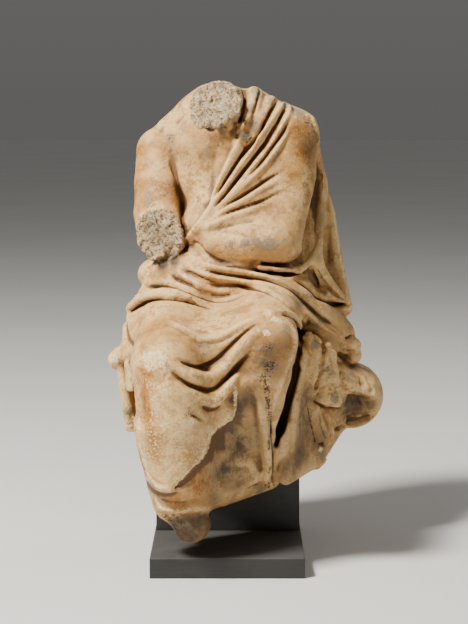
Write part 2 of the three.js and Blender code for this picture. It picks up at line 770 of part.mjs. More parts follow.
function compact(points, triangles) {
  const kept = new Map();
  const renumbered = triangles.map((corner) => {
    if (!kept.has(corner)) {
      kept.set(corner, kept.size);
    }
    return kept.get(corner);
  });
  const moved = new Float64Array(kept.size * 3);
  kept.forEach((to, from) => {
    moved.set(points.subarray(from * 3, from * 3 + 3), to * 3);
  });
  return { points: moved, triangles: Uint32Array.from(renumbered) };
}

// Evens out the grid's steps: each pass draws points towards their neighbours' middle and lets them back out.
function relax({ points, triangles }, passes) {
  const count = points.length / 3;
  for (let pass = 0; pass < 2 * passes; pass += 1) {
    const share = pass % 2 === 0 ? RELAX_IN : RELAX_OUT;
    const sums = new Float64Array(count * 3);
    const links = new Uint32Array(count);
    for (let t = 0; t < triangles.length; t += 1) {
      const from = triangles[t];
      const to = triangles[t % 3 === 2 ? t - 2 : t + 1];
      for (let axis = 0; axis < 3; axis += 1) {
        sums[from * 3 + axis] += points[to * 3 + axis];
      }
      links[from] += 1;
    }
    for (let i = 0; i < points.length; i += 1) {
      points[i] += share * (sums[i] / links[Math.floor(i / 3)] - points[i]);
    }
  }
}

// Edge collapse by least distance to the planes of the faces round each point.

class Planes {
  constructor(sums = new Float64Array(10)) {
    this.sums = sums;
  }

  add(other) {
    other.sums.forEach((value, i) => {
      this.sums[i] += value;
    });
    return this;
  }

  addPlane({ x, y, z }, offset, weight) {
    const products = [
      x * x, x * y, x * z, x * offset, y * y, y * z, y * offset, z * z, z * offset, offset * offset,
    ];
    products.forEach((product, i) => {
      this.sums[i] += product * weight;
    });
  }

  cost({ x, y, z }) {
    const [xx, xy, xz, xo, yy, yz, yo, zz, zo, oo] = this.sums;
    return xx * x * x + yy * y * y + zz * z * z + oo
      + 2 * (xy * x * y + xz * x * z + xo * x + yz * y * z + yo * y + zo * z);
  }

  // The point nearest to all the planes, or null where they don't settle one.
  best() {
    const [xx, xy, xz, xo, yy, yz, yo, zz, zo] = this.sums;
    const matrix = new THREE.Matrix3(xx, xy, xz, xy, yy, yz, xz, yz, zz);
    const scale = (xx + yy + zz) / 3;
    if (Math.abs(matrix.determinant()) < FLATNESS * scale ** 3) {
      return null;
    }
    return new THREE.Vector3(-xo, -yo, -zo).applyMatrix3(matrix.invert());
  }
}

class Queue {
  constructor() {
    this.items = [];
  }

  push(item) {
    const { items } = this;
    let at = items.length;
    while (at > 0) {
      const parent = (at - 1) >> 1;
      if (items[parent].cost <= item.cost) {
        break;
      }
      items[at] = items[parent];
      at = parent;
    }
    items[at] = item;
  }

  pop() {
    const { items } = this;
    const top = items[0];
    const last = items.pop();
    const count = items.length;
    if (count > 0) {
      let at = 0;
      for (;;) {
        let child = 2 * at + 1;
        if (child >= count) {
          break;
        }
        if (child + 1 < count && items[child + 1].cost < items[child].cost) {
          child += 1;
        }
        if (items[child].cost >= last.cost) {
          break;
        }
        items[at] = items[child];
        at = child;
      }
      items[at] = last;
    }
    return top;
  }
}

function simplify({ points, triangles }, target) {
  const nodes = Array.from({ length: points.length / 3 }, (_, i) => ({
    at: new THREE.Vector3().fromArray(points, 3 * i),
    faces: new Set(),
    planes: new Planes(),
    changes: 0,
    gone: false,
  }));
  let faceCount = triangles.length / 3;
  const triangle = new THREE.Triangle();
  const normal = new THREE.Vector3();
  for (let t = 0; t < triangles.length; t += 3) {
    const face = { corners: [nodes[triangles[t]], nodes[triangles[t + 1]], nodes[triangles[t + 2]]] };
    triangle.set(...face.corners.map((node) => node.at));
    triangle.getNormal(normal);
    face.corners.forEach((node) => {
      node.faces.add(face);
      node.planes.addPlane(normal, -normal.dot(triangle.a), triangle.getArea());
    });
  }
  const neighboursOf = (node) => {
    const around = new Set();
    node.faces.forEach(({ corners }) => corners.forEach((corner) => around.add(corner)));
    around.delete(node);
    return around;
  };
  const queue = new Queue();
  const offer = (a, b) => {
    const planes = new Planes(Float64Array.from(a.planes.sums)).add(b.planes);
    const middle = a.at.clone().lerp(b.at, 0.5);
    const best = planes.best();
    const length = a.at.distanceTo(b.at);
    const bestIsNear = best !== null && best.distanceTo(middle) < FARTHEST_MOVE * length;
    const choices = bestIsNear ? [best] : [middle, a.at, b.at];
    const to = choices.reduce((least, choice) => (planes.cost(choice) < planes.cost(least) ? choice : least));
    const cost = Math.max(planes.cost(to), 0) + EVENNESS * length ** 4;
    queue.push({ cost, a, b, to: to.clone(), planes, changes: a.changes + b.changes });
  };
  const seen = new Set();
  nodes.forEach((node) => {
    neighboursOf(node).forEach((other) => {
      if (!seen.has(other)) {
        offer(node, other);
      }
    });
    seen.add(node);
  });

  const turned = new THREE.Vector3();
  const staysWhole = (node, other, to) => {
    for (const { corners } of node.faces) {
      if (corners.includes(other)) {
        continue;
      }
      triangle.set(...corners.map((corner) => corner.at));
      triangle.getNormal(normal);
      triangle.set(...corners.map((corner) => (corner === node ? to : corner.at)));
      triangle.getNormal(turned);
      if (normal.dot(turned) < LEAST_TURN) {
        return false;
      }
    }
    return true;
  };

  while (faceCount > target && queue.items.length > 0) {
    const { a, b, to, planes, changes } = queue.pop();
    if (a.gone || b.gone || a.changes + b.changes !== changes) {
      continue;
    }
    const around = neighboursOf(a);
    const shared = [...neighboursOf(b)].filter((node) => around.has(node));
    if (shared.length !== 2 || !staysWhole(a, b, to) || !staysWhole(b, a, to)) {
      continue;
    }
    b.gone = true;
    a.at.copy(to);
    a.planes = planes;
    a.changes += b.changes + 1;
    b.faces.forEach((face) => {
      if (face.corners.includes(a)) {
        face.corners.forEach((corner) => corner.faces.delete(face));
        faceCount -= 1;
      } else {
        face.corners[face.corners.indexOf(b)] = a;
        a.faces.add(face);
      }
    });
    neighboursOf(a).forEach((node) => offer(a, node));
  }

  const kept = nodes.filter((node) => !node.gone);
  const numbers = new Map(kept.map((node, i) => [node, i]));
  const faces = new Set(kept.flatMap((node) => [...node.faces]));
  const corners = [...faces].flatMap((face) => face.corners.map((node) => numbers.get(node)));
  return {
    points: Float64Array.from(kept.flatMap((node) => node.at.toArray())),
    triangles: Uint32Array.from(corners),
  };
}

// Solids

function toSolid(geometry) {
  const bare = geometry.clone();
  bare.deleteAttribute('normal');
  bare.deleteAttribute('uv');
  const merged = mergeVertices(bare);
  return new wasm.Manifold(new wasm.Mesh({
    numProp: 3,
    vertProperties: Float32Array.from(merged.attributes.position.array),
    triVerts: Uint32Array.from(merged.index.array),
  }));
}

function toGeometry(solid) {
  const { vertProperties, triVerts } = solid.getMesh();
  const body = largestBody({ points: Float64Array.from(vertProperties), triangles: triVerts });
  return asGeometry(body.points, body.triangles);
}

function asGeometry(points, triangles) {
  const geometry = new THREE.BufferGeometry();
  geometry.setAttribute('position', new THREE.BufferAttribute(Float32Array.from(points), 3));
  geometry.setIndex(new THREE.BufferAttribute(triangles, 1));
  geometry.computeVertexNormals();
  return geometry;
}

function block(width, depth, height) {
  return new THREE.BoxGeometry(width, depth, height).translate(0, 0, height / 2);
}

// Assembly

const uprightHeight = SHIN_CLEARANCE + (SEAT_LEVEL - SHIN_LEVEL) * UNIT;
const uprightFoot = SLAB_THICKNESS + SEAT_GAP;
const seatHeight = uprightFoot + uprightHeight;
const uprightY = UPRIGHT_FACE_Y + UPRIGHT_DEPTH / 2;

const statueStone = new THREE.MeshStandardMaterial({ color: 0xcbb491, roughness: 0.75, metalness: 0 });
const greyPaint = new THREE.MeshStandardMaterial({ color: 0x55554f, roughness: 0.6, metalness: 0 });

function statueGeometry() {
  const surface = largestBody(surfaceOf(carvedFigure()));
  relax(surface, RELAX_PASSES);
  const { points, triangles } = simplify(surface, FIGURE_TRIANGLES);
  const figure = asGeometry(points, triangles)
    .translate(0, 0, -SEAT_LEVEL)
    .scale(UNIT, UNIT, UNIT)
    .translate(FIGURE_SHIFT_X, 0, seatHeight + SEAT_GAP);
  const room = block(UPRIGHT_WIDTH + 2 * SEAT_GAP, UPRIGHT_DEPTH + 2 * SEAT_GAP, uprightHeight + 2 * SEAT_GAP)
    .translate(0, uprightY, uprightFoot - SEAT_GAP);
  return toGeometry(toSolid(figure).subtract(toSolid(room)));
}

const statue = new THREE.Mesh(statueGeometry(), statueStone);
statue.name = 'statue';

const upright = new THREE.Mesh(block(UPRIGHT_WIDTH, UPRIGHT_DEPTH, uprightHeight), greyPaint);
upright.name = 'mount_upright';
upright.position.set(0, uprightY, uprightFoot);

const slab = new THREE.Mesh(block(SLAB_WIDTH, SLAB_DEPTH, SLAB_THICKNESS), greyPaint);
slab.name = 'mount_foot';

const statuette = new THREE.Group();
statuette.add(slab, upright, statue);

export default statuette;
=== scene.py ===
"""Marble statuette of a seated, draped man on a painted museum mount.

The figure is sculpted as a field of signed distances in drawing units, as the photograph's camera sees it:
first its plain forms, then the folds, laps and breaks. The surface is then taken from the field, in metres.
"""

from math import cos, pi, radians, sin

import bmesh
import bpy
import numpy as np
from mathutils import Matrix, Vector


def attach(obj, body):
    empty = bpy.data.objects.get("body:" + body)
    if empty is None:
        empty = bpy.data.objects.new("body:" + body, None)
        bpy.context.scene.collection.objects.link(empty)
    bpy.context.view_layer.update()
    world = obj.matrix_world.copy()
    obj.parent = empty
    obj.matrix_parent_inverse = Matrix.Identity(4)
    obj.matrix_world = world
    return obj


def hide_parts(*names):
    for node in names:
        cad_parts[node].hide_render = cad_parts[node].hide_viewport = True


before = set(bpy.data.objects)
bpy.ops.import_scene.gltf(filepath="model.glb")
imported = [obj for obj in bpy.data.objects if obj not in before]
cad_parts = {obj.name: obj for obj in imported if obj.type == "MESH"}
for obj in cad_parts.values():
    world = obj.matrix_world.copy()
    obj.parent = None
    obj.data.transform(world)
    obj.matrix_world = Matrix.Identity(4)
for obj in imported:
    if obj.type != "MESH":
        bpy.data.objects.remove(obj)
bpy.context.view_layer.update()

# Sizes of the mount, in metres

SLAB_WIDTH = 0.206
SLAB_DEPTH = 0.298
SLAB_THICKNESS = 0.027
UPRIGHT_WIDTH = 0.202
UPRIGHT_DEPTH = 0.134
UPRIGHT_FACE_Y = 0.006
SHIN_CLEARANCE = 0.021
GAP = 0.0003
SLAB_EDGE = 0.0012
UPRIGHT_EDGE = 0.0008

# The drawing that the figure is made in: the eye's place in it, and one unit's real size

EYE_U, EYE_V, EYE_DISTANCE = 237.0, 107.0, 1731.0
FIGURE_HEIGHT = 0.611
UNIT = FIGURE_HEIGHT / 435
FIGURE_SHIFT_X = 0.013
SEAT_LEVEL, SHIN_LEVEL = -330, -410
SEAT_HEIGHT = SLAB_THICKNESS + GAP + SHIN_CLEARANCE + (SEAT_LEVEL - SHIN_LEVEL) * UNIT
FIGURE_BASE = SEAT_HEIGHT + GAP - SEAT_LEVEL * UNIT
BACK_VIEW, LEFT_VIEW, RIGHT_VIEW = 180, 90, 270

# The grid that the field is kept on, and how it is carved

STEP = 1.7
LOW = np.array([-142.0, -165.0, -426.0])
HIGH = np.array([170.0, 134.0, 40.0])
SIGHT_LENGTH = 380.0
SIGHT_STEP = 2.0
FAR = 60.0
TINY = 1e-9
KNUCKLE_BLEND = 3.0
BREAK_BLEND = 3.0
CARVED_BAND = 16.0
FOLD_FADE = 8.0
END_WIDTH = 0.55
NORMAL_REACH = 4.0
LINE_STEP = 3.0
DEPTH_PASSES = 8
RIDGE_POWER = 1.4
CHANNEL_POWER = 1.6
RAGGED_SCALE = 9
RAGGED_SEEDS = (21, 22)
ROUGH_FADE = 0.3
WAVE_OCTAVES = 3
TRENCH_MOUTH = 6
TRENCH_BLEND = 2
LAP_STEP = 2.0
LAP_DEPTH = 26.0
LAP_FADE = 5.0
RELAX_IN, RELAX_OUT = 0.5, -0.52
RELAX_PASSES = 1
FIGURE_TRIANGLES = 190000
HOLLOW_REACH = 3
HOLLOW_DEPTH = 3


# Drawing to space

def place(u, v, w):
    """A drawn point (u, v) at depth w, in drawing units from the eye's axis."""
    spread = (EYE_DISTANCE + w) / EYE_DISTANCE
    return np.array([(u - EYE_U) * spread, w, (EYE_V - v) * spread])


def drawn(points, view):
    """u, v and depth of points, as the eye (view None) or a side elevation sees them."""
    if view is None:
        spread = (EYE_DISTANCE + points[:, 1]) / EYE_DISTANCE
        return EYE_U + points[:, 0] / spread, EYE_V - points[:, 2] / spread, points[:, 1] - LOW[1]
    into, right = elevation(view)
    return points @ right, EYE_V - points[:, 2], points @ into + SIGHT_LENGTH / 2


def elevation(view):
    turn = radians(view)
    return np.array([-sin(turn), cos(turn), 0.0]), np.array([cos(turn), sin(turn), 0.0])


def sight_lines(uv, view):
    """Start points and steps, one unit deep, of the sight lines through drawn points."""
    if view is None:
        on_plane = np.stack([uv[:, 0] - EYE_U, np.zeros(len(uv)), EYE_V - uv[:, 1]], -1)
        into = (on_plane + [0, EYE_DISTANCE, 0]) / EYE_DISTANCE
        return on_plane + into * LOW[1], into
    into, right = elevation(view)
    start = uv[:, :1] * right - into * SIGHT_LENGTH / 2
    start[:, 2] = EYE_V - uv[:, 1]
    return start, np.repeat(into[None], len(uv), 0)


def smooth_min(a, b, blend):
    overlap = np.maximum(blend - np.abs(a - b), 0) / blend
    return np.minimum(a, b) - overlap * overlap * (blend / 4)


def smooth_max(a, b, blend):
    return -smooth_min(-a, -b, blend)


def length(vectors):
    return np.sqrt((vectors * vectors).sum(-1))


def closest_share(points, start, along):
    return np.clip(((points - start) * along).sum(-1) / (along * along).sum(-1), 0, 1)


def smooth_line(corners, step):
    """Points about a step apart on a smooth curve through the corners."""
    p = np.array(corners, float)
    p = np.vstack([2 * p[0] - p[1], p, 2 * p[-1] - p[-2]])
    points = []
    for a, b, c, d in zip(p[:-3], p[1:-2], p[2:-1], p[3:]):
        count = max(2, int(np.hypot(*(c - b)) / step))
        t = np.linspace(0, 1, count, endpoint=False)[:, None]
        bend, twist = 2 * a - 5 * b + 4 * c - d, 3 * b - a - 3 * c + d
        points.append((2 * b + (c - a) * t + bend * t**2 + twist * t**3) / 2)
    return np.vstack(points + [p[-2:-1]])


def waves(points, scale, seed):
    """Uneven field from about -1 to 1, with forms about a scale across and finer ones on them."""
    rng = np.random.default_rng(seed)
    total, strength, weight, pace = 0, 1.0, 0, 2 * pi / scale
    for _ in range(WAVE_OCTAVES):
        turn = np.linalg.qr(rng.normal(size=(3, 3)))[0]
        x, y, z = (points @ turn * pace + rng.uniform(0, 2 * pi, 3)).T
        swell = np.sin(x + 1.3 * np.sin(y)) * np.sin(y + 1.1 * np.sin(z))
        total = total + strength * (swell + 0.5 * np.sin(1.7 * z + 0.6 * x))
        weight += 1.3 * strength
        strength *= 0.55
        pace *= 1.9
    return total / weight


class Stone:
    """Signed distances on a grid, negative inside the stone."""

    def __init__(self):
        self.size = np.ceil((HIGH - LOW) / STEP).astype(int) + 1
        self.axes = [(low + STEP * np.arange(count)).astype(np.float32) for low, count in zip(LOW, self.size)]
        self.field = np.full(self.size, FAR, np.float32)

    def blend(self, low, high, distance, width, cut=False):
        reach = width + 2 * STEP
        first = np.clip(np.floor((low - reach - LOW) / STEP).astype(int), 0, self.size)
        last = np.clip(np.ceil((high + reach - LOW) / STEP).astype(int) + 1, 0, self.size)
        window = tuple(slice(a, b) for a, b in zip(first, last))
        grid = np.meshgrid(*[axis[part] for axis, part in zip(self.axes, window)], indexing="ij")
        form = distance(np.stack(grid, -1))
        before = self.field[window]
        self.field[window] = smooth_max(before, -form, width) if cut else smooth_min(before, form, width)

    def ball(self, centre, radii, width, cut=False):
        """Ellipsoid with its radii along u, v and w."""
        middle, r = place(*centre), np.array([radii[0], radii[2], radii[1]], float)

        def distance(p):
            q = (p - middle) / r
            reach = length(q)
            return reach * (reach - 1) / (length(q / r) + TINY)

        self.blend(middle - r, middle + r, distance, width, cut)

    def block(self, centre, half, rounding, width, yaw):
        """Rounded box with its half sizes along u, v and w, turned about the vertical."""
        middle, h = place(*centre), np.array([half[0], half[2], half[1]], float)
        y = radians(yaw)
        turn = np.array([[cos(y), -sin(y), 0], [sin(y), cos(y), 0], [0, 0, 1]])
        reach = np.abs(turn) @ h

        def distance(p):
            q = np.abs((p - middle) @ turn) - (h - rounding)
            return length(np.maximum(q, 0)) + np.minimum(q.max(-1), 0) - rounding

        self.blend(middle - reach, middle + reach, distance, width)

    def limb(self, joints, width):
        """Round limb through joints, each (u, v, w, radius)."""
        ends = [(place(u, v, w), radius) for u, v, w, radius in joints]
        centres = np.array([centre for centre, _ in ends])
        widest = max(radius for _, radius in ends)

        def distance(p):
            form = None
            for (a, a_radius), (b, b_radius) in zip(ends[:-1], ends[1:]):
                share = closest_share(p, a, b - a)
                bone = length(p - a - share[..., None] * (b - a)) - (a_radius + (b_radius - a_radius) * share)
                form = bone if form is None else smooth_min(form, bone, KNUCKLE_BLEND)
            return form

        self.blend(centres.min(0) - widest, centres.max(0) + widest, distance, width)

    def trench(self, joints):
        """Narrow gap along joints, each (u, v, front depth, back depth, radius)."""
        for (u, v, front, back, radius), (u2, v2, front2, back2, radius2) in zip(joints[:-1], joints[1:]):
            wall = [(u, v, front - TRENCH_MOUTH), (u2, v2, front2 - TRENCH_MOUTH),
                    (u2, v2, back2), (u, v, back)]
            self.sheet(wall, (radius + radius2) / 2, TRENCH_BLEND, cut=True)

    def sheet(self, corners, radius, width, cut=False):
        """Flat piece, twice the radius thick, through three or four corners, each (u, v, w)."""
        points = [place(*corner) for corner in corners]

        def to_face(p, a, b, c):
            normal = np.cross(b - a, c - a)
            over = np.ones(p.shape[:-1], bool)
            edges = []
            for start, end in ((a, b), (b, c), (c, a)):
                over &= (p - start) @ np.cross(normal, end - start) >= 0
                q = p - start - closest_share(p, start, end - start)[..., None] * (end - start)
                edges.append((q * q).sum(-1))
            on_face = ((p - a) @ normal) ** 2 / (normal @ normal)
            return np.sqrt(np.where(over, on_face, np.minimum.reduce(edges)))

        def distance(p):
            faces = [to_face(p, points[0], b, c) for b, c in zip(points[1:-1], points[2:])]
            return np.minimum.reduce(faces) - radius

        self.blend(np.min(points, 0) - radius, np.max(points, 0) + radius, distance, width, cut)

    def shear(self, centre, normal, reach):
        """Break: removes the stone past a plane, within a reach of its middle."""
        middle = place(*centre)
        away = np.array(normal) / np.linalg.norm(normal)

        def kept(p):
            q = p - middle
            return -np.minimum(q @ away, reach - length(q))

        self.blend(middle - reach, middle + reach, kept, BREAK_BLEND, cut=True)

    def join(self, other, width):
        self.field = smooth_min(self.field, other.field, width)

    def sample(self, points, field=None):
        """The field at any points, between its grid points."""
        field = self.field if field is None else field
        q = (points - LOW) / STEP
        i = np.clip(np.floor(q).astype(int), 0, self.size - 2)
        f = np.clip(q - i, 0, 1)
        flat, (_, ny, nz) = field.reshape(-1), self.size
        base = (i[..., 0] * ny + i[..., 1]) * nz + i[..., 2]
        total = 0
        for corner in range(8):
            bits = [(corner >> axis) & 1 for axis in range(3)]
            weight = np.prod([f[..., axis] if bit else 1 - f[..., axis] for axis, bit in enumerate(bits)], 0)
            total = total + weight * flat[base + (bits[0] * ny + bits[1]) * nz + bits[2]]
        return total

    def normals(self, points):
        slopes = []
        for axis in np.eye(3) * NORMAL_REACH:
            slopes.append(self.sample(points + axis) - self.sample(points - axis))
        slopes = np.stack(slopes, -1)
        return slopes / (length(slopes)[:, None] + TINY)

    def seen(self, uv, view):
        """Depth of the first stone met behind each drawn point, or of the nearest miss."""
        start, into = sight_lines(uv, view)
        depths = np.arange(0, SIGHT_LENGTH, SIGHT_STEP)
        values = self.sample(start[:, None] + depths[None, :, None] * into[:, None])
        hit = values < 0
        first = np.where(hit.any(1), hit.argmax(1), values.argmin(1))
        rows = np.arange(len(uv))
        after, before = values[rows, first], values[rows, np.maximum(first - 1, 0)]
        back = np.where((after < 0) & (before > 0), after / (after - before), 0)
        return start, into, depths[first] - SIGHT_STEP * back


class Carving:
    """Folds, laps and breaks drawn on the plain stone."""

    def __init__(self, stone):
        self.stone = stone
        self.cells = np.argwhere(np.abs(stone.field) < CARVED_BAND)
        self.points = (LOW + self.cells * STEP).astype(np.float32)
        self.relief = np.zeros(len(self.cells), np.float32)
        self.views = {}

    def near(self, low, high):
        first, last = np.searchsorted(self.points[:, 0], [low[0], high[0]])
        part = self.points[first:last]
        inside = (part[:, 1] > low[1]) & (part[:, 1] < high[1])
        inside &= (part[:, 2] > low[2]) & (part[:, 2] < high[2])
        return np.nonzero(inside)[0] + first

    def fold(self, line, height, left, right=None, view=None, open_start=False, open_end=False, taper=0.2):
        """A ridge (height over 0) or a channel along a drawn line, with half widths left and right of it."""
        right = left if right is None else right
        start, into, depths = self.stone.seen(smooth_line(line, LINE_STEP), view)
        for _ in range(DEPTH_PASSES):
            depths[1:-1] = depths[1:-1] / 2 + (depths[:-2] + depths[2:]) / 4
        path = start + into * depths[:, None]
        normals = self.stone.normals(path)
        for _ in range(DEPTH_PASSES):
            normals[1:-1] = normals[1:-1] / 2 + (normals[:-2] + normals[2:]) / 4
        normals /= length(normals)[:, None]
        run = np.concatenate([[0], np.cumsum(length(np.diff(path, axis=0)))])
        run /= run[-1]

        widest = max(left, right)
        reach = np.hypot(widest, CARVED_BAND)
        ids = self.near(path.min(0) - reach, path.max(0) + reach)
        p = self.points[ids].astype(np.float64)
        nearest = ((path * path).sum(1) - 2 * p @ path.T).argmin(1)
        best = None
        for step in (-1, 0):
            i = np.clip(nearest + step, 0, len(path) - 2)
            along = path[i + 1] - path[i]
            share = closest_share(p, path[i], along)
            offset = p - path[i] - share[:, None] * along
            reach2 = (offset * offset).sum(1)
            now = (reach2, i, along, share, offset)
            if best is None:
                best = now
            else:
                closer = reach2 < best[0]
                best = [np.where(closer if a.ndim == 1 else closer[:, None], a, b) for a, b in zip(now, best)]
        _, i, along, share, offset = best
        normal = normals[i] * (1 - share)[:, None] + normals[i + 1] * share[:, None]
        lift = (offset * normal).sum(1)
        flat = offset - lift[:, None] * normal
        side = (flat * np.cross(normal, along)).sum(1)
        along_run = run[i] * (1 - share) + run[i + 1] * share
        fade = np.ones(len(p))
        if not open_start:
            fade *= np.minimum(along_run / taper, 1)
        if not open_end:
            fade *= np.minimum((1 - along_run) / taper, 1)
        half_width = np.where(side >= 0, left, right) * (END_WIDTH + (1 - END_WIDTH) * fade)
        aside = np.minimum(length(flat) / half_width, 1)
        profile = (1 - aside * aside) ** RIDGE_POWER if height > 0 else (1 - aside) ** CHANNEL_POWER
        depth_fade = np.clip((CARVED_BAND - np.abs(lift)) / FOLD_FADE, 0, 1)
        self.relief[ids] += height * fade * profile * depth_fade

    def fan(self, first, last, count, height, half_width, **options):
        """Folds, ridge and channel in turn, spread evenly from the first drawn line to the last."""
        first, last = np.array(first, float), np.array(last, float)
        for i in range(count):
            line = first + (last - first) * i / (count - 1)
            self.fold(line, height if i % 2 == 0 else -height, half_width, **options)

    def drawn(self, view):
        if view not in self.views:
            self.views[view] = drawn(self.points, view)
        return self.views[view]

    def lap(self, outline, height, view=None, ragged=0.0):
        """Raises or lowers the stone seen inside an outline, with corners (u, v, width of its edge)."""
        corners = np.array(outline, float)
        low, high = corners[:, :2].min(0) - ragged, corners[:, :2].max(0) + ragged
        u, v, w = self.drawn(view)
        ids = np.nonzero((u > low[0]) & (u < high[0]) & (v > low[1]) & (v < high[1]))[0]
        u, v, w = u[ids], v[ids], w[ids]
        if ragged:
            u, v = [at + ragged * waves(self.points[ids], RAGGED_SCALE, seed) for at, seed in
                    zip((u, v), RAGGED_SEEDS)]
        share = share_inside(corners, u, v)
        columns, rows = [np.arange(a, b + 2 * LAP_STEP, LAP_STEP) for a, b in zip(low, high)]
        grid = np.stack(np.meshgrid(columns, rows, indexing="ij"), -1)
        _, _, depths = self.stone.seen(grid.reshape(-1, 2), view)
        depths = depths.reshape(grid.shape[:2])
        i, j = [np.clip(((a - b) / LAP_STEP + 0.5).astype(int), 0, None)
                for a, b in ((u, low[0]), (v, low[1]))]
        i, j = np.minimum(i, len(columns) - 1), np.minimum(j, len(rows) - 1)
        front = np.clip((depths[i, j] + LAP_DEPTH - w) / LAP_FADE, 0, 1)
        self.relief[ids] += height * share * share * (3 - 2 * share) * front

    def rough(self, centre, radius, height, scale, seed):
        """Uneven broken surface within a radius of a point."""
        middle = place(*centre)
        ids = self.near(middle - radius, middle + radius)
        p = self.points[ids]
        fade = np.clip((radius - length(p - middle)) / (ROUGH_FADE * radius), 0, 1)
        self.relief[ids] += height * fade * waves(p, scale, seed)

    def apply(self):
        self.stone.field[tuple(self.cells.T)] -= self.relief


def share_inside(corners, u, v):
    """0 outside an outline, rising to 1 inside over the widths of its edges."""
    inside = np.zeros(len(u), bool)
    share = np.ones(len(u))
    for (au, av, edge), (bu, bv, _) in zip(corners, np.roll(corners, -1, 0)):
        crossing = au + (v - av) * (bu - au) / (bv - av + TINY)
        inside ^= ((av > v) != (bv > v)) & (u < crossing)
        span = (bu - au) ** 2 + (bv - av) ** 2 + TINY
        near = np.clip(((u - au) * (bu - au) + (v - av) * (bv - av)) / span, 0, 1)
        reach = np.hypot(u - au - near * (bu - au), v - av - near * (bv - av))
        share = np.minimum(share, reach / edge)
    return np.where(inside, share, 0)


# Surface of the stone

def surface(field):
    """A point in each cell that the surface crosses, and a four-sided face across each crossed grid edge."""
    inside = field < 0
    corners = np.array([(i >> 2 & 1, i >> 1 & 1, i & 1) for i in range(8)])
    parts = [inside[tuple(slice(c, n - 1 + c) for c, n in zip(corner, field.shape))] for corner in corners]
    count = np.sum(parts, 0, dtype=np.int8)
    crossed = (count > 0) & (count < 8)
    cells = np.argwhere(crossed)
    numbers = np.full(crossed.shape, -1)
    numbers[crossed] = np.arange(len(cells))
    values = np.stack([field[tuple((cells + corner).T)] for corner in corners], 1)
    total, crossings = np.zeros((len(cells), 3)), np.zeros(len(cells))
    for a in range(8):
        for b in range(a + 1, 8):
            if np.abs(corners[a] - corners[b]).sum() != 1:
                continue
            change = (values[:, a] < 0) != (values[:, b] < 0)
            share = values[:, a] / np.where(change, values[:, a] - values[:, b], 1)
            total += np.where(change[:, None], corners[a] + share[:, None] * (corners[b] - corners[a]), 0)
            crossings += change
    points = LOW + (cells + total / crossings[:, None]) * STEP

    faces = []
    for axis in range(3):
        aside, up = np.roll(np.eye(3, dtype=int), -axis - 1, 0)[:2]
        before = [slice(1, -1)] * 3
        before[axis] = slice(0, -1)
        after = list(before)
        after[axis] = slice(1, None)
        change = inside[tuple(before)] != inside[tuple(after)]
        cell = np.argwhere(change) + 1 - np.eye(3, dtype=int)[axis]
        solid = inside[tuple(before)][change]
        face = np.stack([numbers[tuple((cell - step).T)] for step in (aside + up, up, 0 * up, aside)], 1)
        face[~solid] = face[~solid][:, ::-1]
        faces.append(face)
    return points, np.vstack(faces)


def largest_body(points, faces):
    """Only the body with the most points."""
    label = np.arange(len(points))
    while True:
        least = label[faces].min(1)
        lower = label.copy()
        for corner in faces.T:
            np.minimum.at(lower, corner, least)
        lower = lower[lower]
        if np.array_equal(lower, label):
            break
        label = lower
    kept = label == np.bincount(label).argmax()
    return points[kept], (np.cumsum(kept) - 1)[faces[kept[faces[:, 0]]]]


def relax(points, faces, passes):
    """Evens out the grid's steps: each pass draws points to their neighbours' middle and back out."""
    ends = np.vstack([faces, np.roll(faces, 1, 1)]).T.reshape(-1)
    starts = np.vstack([np.roll(faces, -1, 1), faces]).T.reshape(-1)
    links = np.bincount(ends, minlength=len(points))[:, None]
    for i in range(2 * passes):
        sums = np.stack([np.bincount(ends, points[starts, axis], len(points)) for axis in range(3)], 1)
        points = points + (RELAX_IN if i % 2 == 0 else RELAX_OUT) * (sums / links - points)
    return points


# The plain forms. Right and left are the seated man's own; lengths are drawing units.

def torso(stone):
    stone.ball((224, 160, 50), (60, 54, 46), 10)
    stone.ball((232, 214, 50), (50, 52, 44), 16)
    stone.ball((226, 244, 50), (56, 44, 44), 20)
    stone.limb([(165, 149, 54, 23), (200, 124, 55, 27), (250, 118, 50, 29), (287, 138, 46, 29)], 14)
    stone.limb([(212, 107, 52, 23), (176, 134, 57, 18)], 8)
    stone.ball((218, 116, 50), (36, 26, 30), 12)
    stone.ball((207, 178, 16), (25, 28, 13), 14)
    stone.ball((214, 228, 16), (32, 22, 16), 14)
    stone.ball((234, 205, 66), (74, 95, 34), 20)


def neck(stone):
    stone.limb([(225, 113, 50, 28), (216, 106, 4, 24.5)], 6)
    stone.ball((223, 101.5, 14), (19, 18, 14), 6)
    stone.ball((203, 137, 10), (27, 26, 17), 12)
    stone.shear((217, 105, 0), (0.05, -0.9, 0.42), 34)


def shoulder_rolls(stone):
    """Rolls of the mantle that run over the left shoulder, beside the neck."""
    stone.limb([(254, 97, 34, 10), (251, 110, 20, 9), (246, 124, 10, 6.5), (238, 142, 4, 5)], 3)
    stone.limb([(270, 105, 34, 9), (262, 120, 18, 8.5), (252, 136, 8, 7), (239, 154, 3, 5.5),
        (226, 174, 0, 4)], 3)
    stone.shear((254, 128, 9), (0.1, -1, 0.15), 10)
    stone.shear((245, 138, 4), (-0.25, -1, 0.1), 9)
    stone.limb([(283, 109, 32, 7), (273, 124, 18, 6.5), (260, 142, 8, 5.5), (244, 162, 2, 4.5),
        (230, 180, 0, 4)], 3)


def left_arm(stone):
    """The left arm lies across the body under the mantle."""
    stone.limb([(287, 138, 46, 29), (288, 175, 38, 28), (284, 212, 20, 26.5), (276, 237, 2, 24)], 12)
    stone.limb([(276, 237, 2, 24), (246, 240, -8, 20), (216, 240, -4, 17)], 16)
    stone.ball((255, 185, 24), (46, 52, 26), 20)
    stone.ball((240, 222, 6), (48, 34, 24), 20)


